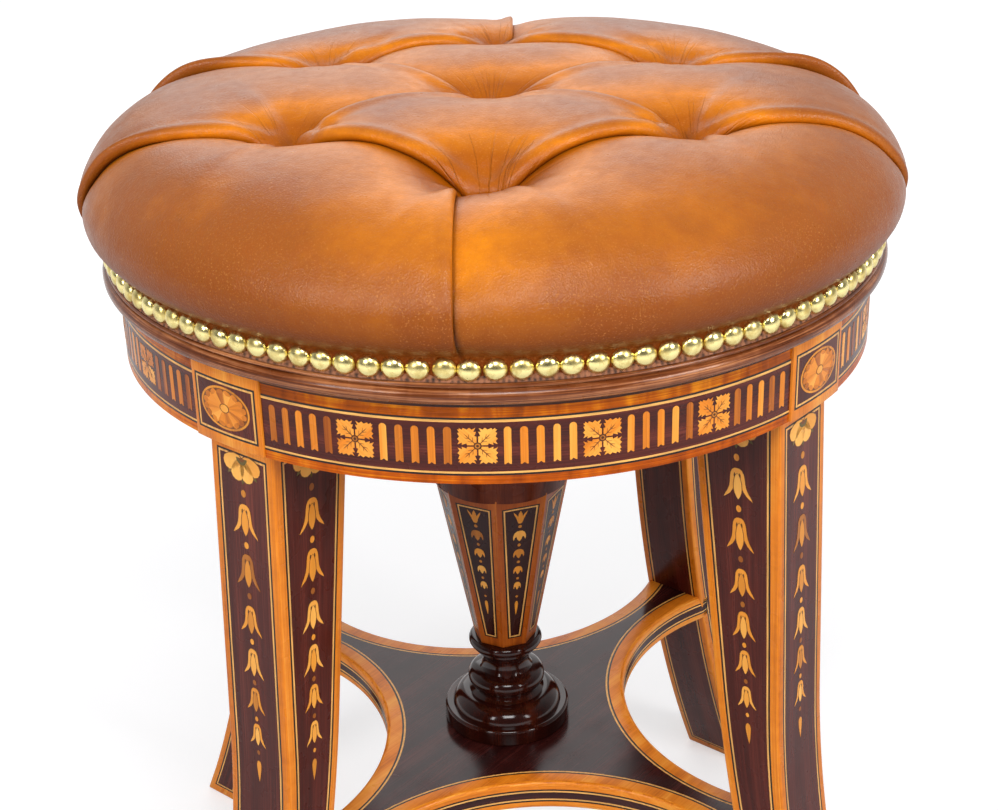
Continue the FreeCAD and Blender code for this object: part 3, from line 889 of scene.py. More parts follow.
def mm(points: Sequence[Point]) -> list[Point]:
    """Points in millimetres turned to metres."""
    return [(x * MM, y * MM) for x, y in points]


def mirrored(half: Sequence[Point]) -> list[Point]:
    """A whole outline from its right half, listed from the bottom to the top."""
    return [*half, *((-x, y) for x, y in reversed(half) if x > 1e-9)]


class Path:
    """A curve in a plane, measured along its length."""

    def __init__(self, points: Sequence[Point]) -> None:
        """Measures the curve.

        Args:
            points: its points, close together.
        """
        self.points = np.array(points, float)
        steps = np.linalg.norm(np.diff(self.points, axis=0), axis=1)
        self.lengths = np.concatenate([[0.0], np.cumsum(steps)])

    def spot(self, along: Any) -> Array:
        """The points at one or more lengths, their two coordinates first."""
        return np.array([np.interp(along, self.lengths, self.points[:, k]) for k in (0, 1)])

    def at(self, along: float) -> tuple[Vector, Vector]:
        """The point and the unit direction at a length.

        Args:
            along: how far along the curve.

        Returns:
            The point and the direction.
        """
        span = 0.5 * MM
        ahead = self.spot(along + span) - self.spot(along - span)
        return Vector(self.spot(along)), Vector(ahead).normalized()

    def at_height(self, height: float) -> float:
        """The length at which a falling curve passes a height."""
        return float(np.interp(-height, -self.points[:, 1], self.lengths))

    def radius(self, height: float) -> float:
        """The first coordinate at which a falling curve passes a height."""
        return float(np.interp(-height, -self.points[:, 1], self.points[:, 0]))


# Marquetry patterns

class Marquetry:
    """Small veneers laid on one flat surface and gathered into a single piece."""

    finishes: tuple[Finish, ...] = (INLAY, SHADE, LEAF, AMBER)
    log_length: float = 3.0

    def __init__(self) -> None:
        """Starts with nothing laid."""
        self.mesh = bmesh.new()
        self.map = self.mesh.loops.layers.uv.new("Grain")
        self.tone = self.mesh.faces.layers.float.new("tone")

    def lay(self, shape: str, finish: Finish, x: float, y: float, lift: float, turn: float = 0.0,
            wide: float = 1.0, tall: float | None = None, tone: float = 0.0) -> None:
        """Lays a copy of one veneer, cut from a random place of its log.

        Args:
            shape: its name in the pattern book.
            finish: its wood.
            x: its place across in metres.
            y: its place up in metres.
            lift: how far it lies off the surface, in millimetres.
            turn: degrees anticlockwise.
            wide: its scale across.
            tall: its scale up, the same as across when left out.
            tone: how much lighter or darker than its wood it is.
        """
        place = (Matrix.Translation((x, y, lift * MM)) @ Matrix.Rotation(math.radians(turn), 4, "Z")
                 @ Matrix.Diagonal((wide, wide if tall is None else tall, 1.0, 1.0)))
        back = place.to_3x3().inverted_safe()
        verts, faces = len(self.mesh.verts), len(self.mesh.faces)
        self.mesh.from_mesh(BOOK.shapes[shape])
        self.mesh.verts.ensure_lookup_table()
        self.mesh.faces.ensure_lookup_table()
        for vertex in self.mesh.verts[verts:]:
            vertex.co = place @ vertex.co
        shift = random.uniform(0.0, self.log_length)
        for face in self.mesh.faces[faces:]:
            face.material_index = self.finishes.index(finish)
            face[self.tone] = tone
            for loop in face.loops:
                local = back @ loop.vert.co
                loop[self.map].uv = (local.y + shift, local.x + local.z)

    def piece(self, name: str, drape: Drape) -> Piece:
        """Lays all of it on its surface as one piece.

        Args:
            name: the piece's name.
            drape: from the flat surface to the real one.

        Returns:
            The piece.
        """
        obj = Bench.show(name, self.mesh)
        for finish in self.finishes:
            obj.data.materials.append(finish.material())
        Bench.drape(obj, drape)
        Bench.smooth(obj, 30.0)
        return obj


@dataclass
class PatternBook:
    """Every veneer shape of the stool, modelled once and flat, most from their right halves."""

    thickness: float = 0.05 * MM
    bend: float = 2.4
    shapes: dict[str, bpy.types.Mesh] = field(default_factory=dict)
    halves: dict[str, Points] = field(default_factory=lambda: {
        "bell": ((0, -0.62), (0.10, -0.60), (0.15, -0.62), (0.20, -0.73), (0.28, -0.84),
                 (0.38, -0.92), (0.50, -1.0), (0.44, -0.88), (0.36, -0.76), (0.295, -0.62),
                 (0.262, -0.46), (0.248, -0.30), (0.225, -0.17), (0.17, -0.065), (0.09, -0.01),
                 (0, 0)),
        "bell_heart": ((0, -1.0), (0.055, -0.93), (0.11, -0.80), (0.135, -0.66), (0.13, -0.50),
                       (0.10, -0.34), (0.055, -0.22), (0, -0.16)),
        "slit": ((0, -0.5), (0.35, -0.25), (0.5, 0.05), (0.35, 0.35), (0, 0.5)),
        "drop": ((0, -1.0), (0.10, -0.72), (0.17, -0.45), (0.20, -0.22), (0.15, -0.07), (0, 0)),
        "ray": ((0, 0), (0.2, 0.1), (0.5, 0.78), (0.46, 0.9), (0.3, 0.975), (0, 1.0)),
        "ray_end": ((0, 0.74), (0.24, 0.78), (0.47, 0.82), (0.44, 0.91), (0.29, 0.965),
                    (0, 0.985)),
        "petal": ((0, 0), (0.22, 0.06), (0.42, 0.3), (0.5, 0.58), (0.44, 0.84), (0.24, 0.97),
                  (0, 1.0)),
        "leaf": ((0, 0), (0.3, 0.35), (0.24, 0.7), (0, 1.0)),
        "flute": ((0, -7.55), (1.0, -8.35), (1.55, -8.35), (1.55, 6.8), (1.42, 7.45),
                  (1.05, 8.0), (0.55, 8.3), (0, 8.4)),
        "rosette_leaf": ((0, 0.4), (1.3, 1.8), (2.7, 3.2), (2.3, 4.0), (4.2, 4.8), (3.3, 5.5),
                         (5.2, 6.2), (3.6, 6.7), (3.5, 8.0), (2.2, 8.1), (1.6, 9.7), (0.8, 9.4),
                         (0.5, 10.8), (0, 10.3)),
        "rib": ((0, 0), (0.24, 0.5), (0.16, 6.2), (0, 7.8)),
        "side_rib": ((0, 0), (0.13, 0.4), (0.1, 2.0), (0, 2.7)),
        "tulip": ((0, -1.0), (0.26, -0.92), (0.40, -0.66), (0.52, -0.34), (0.92, 0.34),
                  (1.0, 0.62), (0.62, 0.30), (0.33, -0.04), (0.26, 0.34), (0, 0.72)),
        "cap": ((0, -1.0), (0.16, -0.80), (0.24, -0.55), (0.36, -0.60), (0.44, -0.86),
                (0.50, -0.72), (0.50, -0.44), (0.40, -0.18), (0.22, -0.03), (0, 0))})

    def add(self, name: str, outline: Sequence[Point], bends: bool = False) -> None:
        """Models one shape.

        Args:
            name: the shape's name.
            outline: its corners in millimetres, anticlockwise.
            bends: whether it gets upright cuts, to lie round a curve.
        """
        obj = Bench.sheet(name, mm(outline), self.thickness)
        if bends:
            count = int(max(x for x, _ in outline) / self.bend)
            Bench.cut(obj, 0, [k * self.bend * MM for k in range(-count, count + 1)])
        self.shapes[name] = obj.data
        bpy.data.objects.remove(obj)

    def ellipse(self, name: str, wide: float, tall: float, count: int,
                bends: bool = False) -> None:
        """Models an oval from its half sizes in millimetres."""
        angles = [math.tau * k / count for k in range(count)]
        self.add(name, [(wide * math.cos(t), tall * math.sin(t)) for t in angles], bends)

    def draw(self) -> None:
        """Models every shape."""
        for name, half in self.halves.items():
            self.add(name, mirrored(half))
        self.add("half_disc", [(-1.0, 0.0)] + arc((-1.0, 0.0), (0.0, -1.0), (1.0, 0.0), 10))
        self.ellipse("dot", 1.0, 1.0, 12)
        self.ellipse("oval_heart", 2.5, 1.9, 16)
        self.ellipse("oval_rim", 14.5, 9.9, 44, True)
        self.ellipse("oval_ground", 13.5, 8.9, 40, True)


BOOK = PatternBook()


@dataclass
class HuskString:
    """A string of husks under half a daisy, as on every face of a leg."""

    dots: Sizes = (355.6, 330.4, 305.1, 281.9, 260.6, 241.3, 223.2)
    dot_tones: Sizes = (-0.5, -0.42, -0.1, 0.0)
    bells: tuple[Triple, ...] = (
        (350.4, 15.4, 15.2), (325.9, 16.4, 14.4), (300.1, 14.2, 13.2), (278.1, 14.2, 12.4),
        (257.7, 12.6, 11.2), (238.6, 11.6, 10.0))
    drop: Triple = (218.8, 11.4, 7.0)
    daisy: float = 372.4
    leaves: Points = ((96, 11.0), (135, 12.6), (180, 12.6), (225, 12.6), (264, 11.0))
    petals: Sizes = (114, 158, 202, 246)
    petal_gap: float = 0.4 * MM

    def lay(self, work: Marquetry, level: Callable[[float], float]) -> None:
        """Lays the string down the middle of a face.

        Args:
            work: where it is gathered.
            level: from a height above the floor to a height on the flat face.
        """
        for k, height in enumerate(self.dots):
            size = 1.45 - 0.09 * k
            work.lay("dot", INLAY, 0, level(height * MM), 0.05, 0, size, size * 1.25,
                     random.choice(self.dot_tones))
        for top, tall, wide in self.bells:
            self.lay_bell(work, level(top * MM), tall, wide)
        top, tall, wide = self.drop
        work.lay("drop", INLAY, 0, level(top * MM), 0.05, 0, wide, tall, -0.05)
        self.lay_daisy(work, level(self.daisy * MM))

    @staticmethod
    def lay_bell(work: Marquetry, top: float, tall: float, wide: float) -> None:
        """Lays one three-petalled bellflower with its shaded lines.

        Args:
            work: where it is gathered.
            top: the height of its crown in metres.
            tall: its height in millimetres.
            wide: its width in millimetres.
        """
        tone, high, side = random.uniform(-0.12, 0.16), tall * MM, wide * MM
        work.lay("bell", INLAY, 0, top, 0.05, 0, wide, tall, tone)
        work.lay("bell_heart", SHADE, 0, top + 0.006 * high, 0.062, 0, wide * 1.22, tall * 0.985,
                 0.12)
        work.lay("bell_heart", INLAY, 0, top - 0.012 * high, 0.08, 0, wide, tall * 0.985,
                 tone + random.uniform(-0.05, 0.1))
        for way in (-1, 1):
            work.lay("slit", SHADE, way * 0.095 * side, top - 0.23 * high, 0.1, way * 8,
                     0.05 * wide, 0.16 * tall, -0.3)

    def lay_daisy(self, work: Marquetry, top: float) -> None:
        """Lays the half daisy that heads a string.

        Args:
            work: where it is gathered.
            top: the height of its middle in metres.
        """
        for turn, tall in self.leaves:
            work.lay("leaf", LEAF, 0, top, 0.05, turn, 8.0, tall)
        for turn in self.petals:
            angle = math.radians(turn)
            work.lay("petal", SHADE, 0, top, 0.075, turn, 8.3, 12.0, -0.1)
            work.lay("petal", INLAY, -math.sin(angle) * self.petal_gap,
                     top + math.cos(angle) * self.petal_gap, 0.095, turn, 7.5, 11.3,
                     random.uniform(0.1, 0.3))
        work.lay("half_disc", LEAF, 0, top, 0.12, 0, 3.3, 3.1, 0.1)
        work.lay("half_disc", SHADE, 0, top, 0.14, 0, 1.9, 1.8)


# Framed and curved veneers

def strings(edge: float, way: int, line: float) -> list[float]:
    """Where a frame's ebony, boxwood and ground start, from the edge of its border."""
    return [edge + way * k * line for k in range(3)]


def strip_at(depth: float, line: float) -> int:
    """What lies that deep inside a frame: 0 the border, 1 ebony, 2 boxwood, 3 the ground."""
    return sum(depth > k * line for k in range(3))


def both_sides(places: Sequence[float]) -> list[float]:
    """Places repeated on the left and the right."""
    return [side * place for side in (-1, 1) for place in places]


def refit(place: float, old: float, new: float, rim: float) -> float:
    """Fits a place across a framed strip to the strip's new width.

    Args:
        place: the place, from the middle.
        old: half the strip's width.
        new: half its new width.
        rim: how wide its frame is and stays.

    Returns:
        The new place.
    """
    away = abs(place)
    if away > old - rim:
        away += new - old
    else:
        away *= (new - rim) / (old - rim)
    return math.copysign(away, place)


def round_stool(radius: float) -> Drape:
    """The drape of an upright surface round the stool, its middle at +X.

    Args:
        radius: the surface's radius.

    Returns:
        The drape.
    """
    def drape(x: float, y: float, height: float) -> Vector:
        """From the flat surface to the round one."""
        angle, reach = x / radius, radius + height
        return Vector((reach * math.cos(angle), reach * math.sin(angle), y))
    return drape


# Legs

class Face(Enum):
    """The faces of a leg that carry marquetry."""

    OUTER = 0
    RIGHT = 1
    LEFT = -1


@dataclass
class SabreLeg:
    """A veneered sabre leg with its block, its radius along +X before it is turned."""

    top: float = 380.8 * MM
    half_width: float = 19.2 * MM
    top_depth: float = 46.3 * MM
    inner_edge: Points = ((126.5, 380.8), (143.0, 243.0), (166.5, 121.5), (210.0, 0.0))
    outer_edge: Points = ((172.8, 380.8), (179.0, 230.0), (195.1, 115.0), (236.0, 0.0))
    outer_border: float = 4.0 * MM
    side_border: float = 4.6 * MM
    head_border: float = 6.3 * MM
    foot_border: float = 6.0 * MM
    line: float = 0.95 * MM
    arris: float = 1.3 * MM
    bends: Sizes = (*(9.0 * k for k in range(2, 29)), 285.0, 320.0, 350.0)
    block_radius: float = 179.8 * MM
    block_inner: float = 126.5 * MM
    block_half_width: float = 20.2 * MM
    block_top: float = 417.6 * MM
    block_arris: float = 0.45 * MM
    block_bends: Sizes = (2.0, 5.0, 8.0, 11.0, 14.0)
    block_frame: Triple = (18.0 * MM, 385.6 * MM, 411.4 * MM)
    patera_level: float = 398.7 * MM
    patera_reach: Point = (13.1, 8.5)
    rays: int = 16
    ray_half_angle: float = 0.196

    def __post_init__(self) -> None:
        """Draws the leg's two edges and the middle line of its sides."""
        self.inner, self.outer = self.edge(*self.inner_edge), self.edge(*self.outer_edge)
        self.middle = Path([((self.inner.radius(z) + self.outer.radius(z)) / 2, z)
                            for z in np.linspace(self.top, 0.0, 160)])

    @staticmethod
    def edge(top: Point, knee: Point, through: Point, foot: Point) -> Path:
        """One edge of the leg: straight to its knee, then an arc through a point to its foot."""
        run = [tuple(a + (b - a) * k / 20 for a, b in zip(top, knee)) for k in range(21)]
        return Path(mm(run + arc(knee, through, foot, 60)))

    def bend(self, x: float, y: float, z: float) -> Vector:
        """From the straight blank to the sabre curve, its borders kept their width.

        Args:
            x: the place along the blank's depth.
            y: the place across it.
            z: the height.

        Returns:
            The bent place.
        """
        low, high = self.inner.radius(z), self.outer.radius(z)
        out = refit(x, self.top_depth / 2, (high - low) / 2, self.side_border + 2 * self.line)
        return Vector(((low + high) / 2 + out, y, z))

    def strip(self, centre: Vector, normal: Vector) -> int:
        """The strip that one face of the blank is cut from.

        Args:
            centre: the face's centre.
            normal: its normal.

        Returns:
            The number of its finish.
        """
        if abs(normal.z) > 0.7:
            return 0
        across = (self.half_width - abs(centre.y) - self.outer_border
                  if abs(normal.x) > abs(normal.y)
                  else self.top_depth / 2 - abs(centre.x) - self.side_border)
        return strip_at(min(across, self.top - centre.z - self.head_border,
                            centre.z - self.foot_border), self.line)

    def stem(self) -> Piece:
        """The veneered stem: cut from a straight blank, painted, rounded and bent.

        Returns:
            The stem.
        """
        half = self.top_depth / 2
        obj = Bench.box("leg_stem", (-half, -self.half_width, 0.0),
                        (half, self.half_width, self.top))
        for axis, edge in ((0, half - self.side_border), (1, self.half_width - self.outer_border)):
            Bench.cut(obj, axis, both_sides(strings(edge, -1, self.line)))
        Bench.cut(obj, 2, strings(self.top - self.head_border, -1, self.line)
                  + strings(self.foot_border, 1, self.line) + [z * MM for z in self.bends])
        Bench.grain(obj, (0, 0, 1))
        Bench.paint(obj, SATINWOOD, EBONY, BOX, MAHOGANY, choose=self.strip)
        Bench.bevel(obj, self.arris, 3)
        Bench.drape(obj, self.bend)
        Bench.smooth(obj, 40.0)
        return obj

    def block(self) -> Piece:
        """The block in the frieze, its face framed by lines and curved with the frieze.

        Returns:
            The block.
        """
        wide, low, high = self.block_frame
        obj = Bench.box("leg_block", (self.block_inner, -self.block_half_width, self.top),
                        (self.block_radius, self.block_half_width, self.block_top))
        Bench.cut(obj, 1, both_sides(strings(wide, -1, self.line)
                                     + [y * MM for y in self.block_bends]))
        Bench.cut(obj, 2, strings(low, 1, self.line) + strings(high, -1, self.line))

        def choose(centre: Vector, normal: Vector) -> int:
            """Frame strips on the front face only."""
            depth = min(wide - abs(centre.y), centre.z - low, high - centre.z)
            return strip_at(depth, self.line) if normal.x >= 0.7 else 0

        Bench.grain(obj, (0, 0, 1))
        Bench.paint(obj, SATINWOOD, EBONY, BOX, MAHOGANY, choose=choose)
        Bench.bevel(obj, self.block_arris, 2)
        Bench.drape(obj, self.curve_block)
        Bench.smooth(obj, 30.0)
        return obj

    def curve_block(self, x: float, y: float, z: float) -> Vector:
        """Curves the block's face to the frieze and leaves its back flat.

        Args:
            x: the place along the radius.
            y: the place across it.
            z: the height.

        Returns:
            The curved place.
        """
        drop = self.block_radius - math.sqrt(self.block_radius ** 2 - y * y)
        share = (x - self.block_inner) / (self.block_radius - self.block_inner)
        return Vector((x - drop * share, y, z))

    def on_face(self, face: Face, path: Path) -> Drape:
        """The drape of one face, whose flat height falls with the length down the leg.

        Args:
            face: which face.
            path: the line down its middle.

        Returns:
            The drape.
        """
        def drape(x: float, y: float, height: float) -> Vector:
            """From the flat face to the leg."""
            spot, way = path.at(-y)
            out, side = height, x
            if face is not Face.OUTER:
                out, side = -x * face.value, face.value * (self.half_width + height)
            return Vector((spot.x - way.y * out, side, spot.y + way.x * out))
        return drape

    def husks(self, face: Face) -> Piece:
        """The husks of one face.

        Args:
            face: which face.

        Returns:
            The piece.
        """
        path, work = self.outer if face is Face.OUTER else self.middle, Marquetry()
        HuskString().lay(work, lambda height: -path.at_height(height))
        return work.piece(f"husks_{face.name.lower()}", self.on_face(face, path))

    def patera(self) -> Piece:
        """The oval patera of sixteen petals on the block.

        Returns:
            The piece.
        """
        work, level = Marquetry(), self.patera_level
        work.lay("oval_rim", INLAY, 0, level, 0.05, tone=-0.12)
        work.lay("oval_ground", SHADE, 0, level, 0.07, tone=0.1)
        wide, tall = self.patera_reach
        for k in range(self.rays):
            angle = math.tau * (k + 0.5) / self.rays
            reach, side = (Vector((wide * math.cos(t), tall * math.sin(t)))
                           for t in (angle, angle + self.ray_half_angle))
            gap = abs(side.x * reach.y - side.y * reach.x) / reach.length * 2
            turn = math.degrees(math.atan2(reach.y, reach.x)) - 90
            spot = reach.x * 0.1 * MM, level + reach.y * 0.1 * MM
            size = gap * 0.9, reach.length * 0.9
            work.lay("ray", AMBER, *spot, 0.17, turn, *size, random.uniform(-0.12, 0.12))
            work.lay("ray_end", AMBER, *spot, 0.21, turn, *size, -0.16)
        work.lay("oval_heart", SHADE, 0, level, 0.22, 0, 1.15)
        work.lay("oval_heart", INLAY, 0, level, 0.26, 0, 0.95, tone=0.1)
        return work.piece("patera", round_stool(self.block_radius))

    def build(self) -> None:
        """Makes one leg, copies it to its four places and hands each over."""
        wood = Bench.join([self.stem(), self.block()], "leg_wood")
        husks = [self.husks(face) for face in Face]
        patera = self.patera()
        for name, turn in QUARTERS.items():
            Bench.hand_over(Bench.copy(wood, f"sabre_leg_{name}", turn), "stand",
                            "satinwood_carcass", f"leg_{name}")
            for piece in husks:
                Bench.hand_over(Bench.copy(piece, f"{piece.name}_{name}", turn), "stand",
                                "satinwood_inlay")
            Bench.hand_over(Bench.copy(patera, f"patera_{name}", turn), "stand",
                            "satinwood_inlay", "block_paterae")
        for piece in (wood, patera, *husks):
            bpy.data.objects.remove(piece)


# Frieze

@dataclass
class Frieze:
    """The four inlaid frieze panels between the leg blocks."""

    radius: float = 178.6 * MM
    proud: float = 0.12
    sunk: float = 0.01 * MM
    block_half_width: float = 20.2 * MM
    joint: float = 0.0004
    levels: Sizes = (380.8, 384.6, 385.5, 386.4, 408.5, 409.6, 410.5, 415.1, 417.6)
    # The fifth wood darkens the upper satinwood strip as painted shade under the moulding; the
    # sixth, the top strip, is partly grime and partly painted shadow in the gap beneath it.
    woods: tuple[Finish, ...] = (SATIN_ROUND, EBONY, BOX, MAHOGANY, SATIN_PAINTED_SHADE, SHADOW_AND_GRIME)
    order: tuple[int, ...] = (0, 1, 2, 3, 2, 1, 4, 5)
    facets: int = 60
    middle: float = 398.1 * MM
    pitch: float = 6.62 * MM
    flutes: int = 5
    flute_tones: Sizes = (-0.3, -0.14, -0.08, 0.0, 0.0, 0.08, 0.16)
    rosettes: int = 4
    step: float = 50.68 * MM
    side_ribs: Points = ((2.6, 42.0), (4.6, 34.0))
    heart: tuple[tuple[float, float, Finish, float], ...] = (
        (1.7, 0.09, SHADE, -0.2), (1.1, 0.11, INLAY, -0.3), (0.6, 0.13, SHADE, -0.4))

    def veneer(self) -> Piece:
        """The frieze's veneers in strips from its foot to its top.

        Returns:
            The veneers of one side.
        """
        gap = math.asin(self.block_half_width / self.radius) + self.joint
        half = (math.pi / 4 - gap) * self.radius
        seams = [z * MM for z in self.levels[1:-1]]
        obj = Bench.box("veneer", (-half, self.levels[0] * MM, self.sunk),
                        (half, self.levels[-1] * MM, self.proud * MM))
        Bench.cut(obj, 1, seams)
        Bench.cut(obj, 0, [half * (2 * k / self.facets - 1) for k in range(1, self.facets)])
        Bench.grain(obj, (1, 0, 0))
        Bench.paint(obj, *self.woods, choose=lambda centre, normal: self.order[
            sum(centre.y > z for z in seams)])
        Bench.drape(obj, round_stool(self.radius))
        Bench.smooth(obj, 30.0)
        return obj

    def lay_rosette(self, work: Marquetry, x: float) -> None:
        """Lays one rosette of four serrated leaves.

        Args:
            work: where it is gathered.
            x: its middle along the frieze.
        """
        lift = self.proud
        for turn in (45, 135, 225, 315):
            out = Vector((-math.sin(math.radians(turn)), math.cos(math.radians(turn)))) * MM
            work.lay("rosette_leaf", AMBER, x, self.middle, lift + 0.03, turn,
                     tone=random.uniform(-0.1, 0.2))
            work.lay("rib", SHADE, x, self.middle, lift + 0.06, turn)
            for side in (-1, 1):
                for reach, lean in self.side_ribs:
                    work.lay("side_rib", SHADE, x + out.x * reach, self.middle + out.y * reach,
                             lift + 0.06, turn + side * lean, 1.0, 0.85, 0.1)
        for size, height, wood, tone in self.heart:
            work.lay("dot", wood, x, self.middle, lift + height, 0, size, tone=tone)

    def inlays(self, name: str) -> tuple[Piece, Piece]:
        """The flutes and the rosettes of one side.

        Args:
            name: the side's name.

        Returns:
            The flutes and the rosettes.
        """
        flutes, rosettes, drape = Marquetry(), Marquetry(), round_stool(self.radius)
        for k in range(self.rosettes + 1):
            middle = (k - self.rosettes / 2) * self.step
            for n in range(self.flutes):
                tone = random.choice(self.flute_tones)
                flutes.lay("flute", AMBER, middle + (n - (self.flutes - 1) / 2) * self.pitch,
                           self.middle + random.uniform(-0.15, 0.15) * MM, self.proud + 0.03,
                           random.uniform(-0.4, 0.4), random.uniform(0.94, 1.06), 1.0, tone)
            if k < self.rosettes:
                self.lay_rosette(rosettes, middle + self.step / 2)
        return flutes.piece(f"flutes_{name}", drape), rosettes.piece(f"rosettes_{name}", drape)

    def build(self) -> None:
        """Makes the four sides and dresses the rails behind them."""
        strip = self.veneer()
        for name, turn in SIDES.items():
            Bench.paint(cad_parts[f"frieze_rail_{name}"], SATIN_ROUND)
            Bench.hand_over(Bench.copy(strip, f"frieze_veneer_{name}", turn), "stand",
                            "satinwood_carcass", f"frieze_band_{name}")
            for piece, node in zip(self.inlays(name), ("frieze_flutes", "frieze_rosettes")):
                piece.data.transform(Matrix.Rotation(math.radians(turn), 4, "Z"))
                Bench.hand_over(piece, "stand", "satinwood_inlay", node)
        bpy.data.objects.remove(strip)


# Column, socle and platform

@dataclass
class Column:
    """The tapering column: veneered flats over the turned core."""

    base: float = 198.0 * MM
    top: float = 294.8 * MM
    base_radius: float = 16.1 * MM
    slope: float = 0.193
    turn: float = -10.0
    sides: int = 8
    border: float = 2.9 * MM
    line: float = 0.8 * MM
    head: float = 288.9 * MM
    foot: float = 203.4 * MM
    bends: Sizes = (230.0, 260.0)
    thickness: float = 0.14
    lift: float = 0.17
    tulip: Triple = (283.2, 3.7, 4.6)
    caps: Points = ((274.0, 6.6), (262.3, 5.9), (251.3, 5.3), (241.0, 5.1))
    cap_width: Point = (6.8, 1.0)
    dots: Sizes = (276.7, 265.0, 254.1, 243.4, 231.4)
    dot_size: Point = (0.95, 0.06)
    drop: Triple = (228.4, 4.5, 9.4)

    def reach(self, height: float) -> float:
        """The distance of a flat from the axis at a height."""
        radius = self.base_radius + self.slope * (height - self.base)
        return radius * math.cos(math.pi / self.sides)

    def flat(self, turn: float) -> Drape:
        """The drape of one flat.

        Args:
            turn: its bearing from +X in degrees.

        Returns:
            The drape.
        """
        turned = Matrix.Rotation(math.radians(turn), 3, "Z")

        def drape(x: float, y: float, height: float) -> Vector:
            """From the flat panel to the column."""
            return turned @ Vector((self.reach(y) + height, x, y))
        return drape

    def panel(self) -> Piece:
        """One flat's veneer: a straight strip, framed, then drawn in to its taper.

        Returns:
            The veneer.
        """
        spread = math.tan(math.pi / self.sides)
        half = self.reach(self.top) * spread
        obj = Bench.box("column_panel", (-half, self.base, 0.0),
                        (half, self.top, self.thickness * MM))
        Bench.cut(obj, 0, both_sides(strings(half - self.border, -1, self.line)) + [0.0])
        Bench.cut(obj, 1, strings(self.head, -1, self.line) + strings(self.foot, 1, self.line)
                  + [z * MM for z in self.bends])

        def choose(centre: Vector, normal: Vector) -> int:
            """Frame strips on the flat's two wide faces only."""
            depth = min(half - self.border - abs(centre.x), self.head - centre.y,
                        centre.y - self.foot)
            return strip_at(depth, self.line) if abs(normal.z) >= 0.7 else 0

        def taper(x: float, y: float, height: float) -> Vector:
            """Draws the strip in, its frame kept its width."""
            new = (self.reach(y) + height) * spread
            return Vector((refit(x, half, new, self.border + 2 * self.line), y, height))

        Bench.grain(obj, (0, 1, 0))
        # The column's woods are darker copies of satinwood and mahogany, as painted shade.
        Bench.paint(obj, SATIN_COLUMN_SHADE, EBONY, BOX, MAHOGANY_COLUMN_SHADE, choose=choose)
        Bench.drape(obj, taper)
        return obj

    def lay_string(self, work: Marquetry) -> None:
        """Lays the tulip, caps, dots and drop of one flat.

        Args:
            work: where they are gathered.
        """
        height, wide, tall = self.tulip
        work.lay("tulip", INLAY, 0, height * MM, self.lift, 0, wide, tall, -0.1)
        for k, height in enumerate(self.dots):
            size = self.dot_size[0] - self.dot_size[1] * k
            work.lay("dot", INLAY, 0, height * MM, self.lift, 0, size, tone=-0.2)
        for k, (height, tall) in enumerate(self.caps):
            wide = self.cap_width[0] - self.cap_width[1] * k
            work.lay("cap", INLAY, 0, height * MM, self.lift, 0, wide, tall,
                     random.uniform(-0.2, 0.15))
        height, wide, tall = self.drop
        work.lay("drop", INLAY, 0, height * MM, self.lift, 0, wide, tall, -0.1)

    def build(self) -> None:
        """Makes the eight flats."""
        panel = self.panel()
        for k in range(self.sides):
            drape = self.flat(self.turn - 90.0 + 360.0 / self.sides * (k + 0.5))
            veneer = Bench.copy(panel, f"column_flat_{k + 1}", 0.0)
            Bench.drape(veneer, drape)
            Bench.hand_over(veneer, "stand", "satinwood_column")
            work = Marquetry()
            self.lay_string(work)
            Bench.hand_over(work.piece(f"column_husks_{k + 1}", drape), "stand",
                            "satinwood_inlay")
        bpy.data.objects.remove(panel)


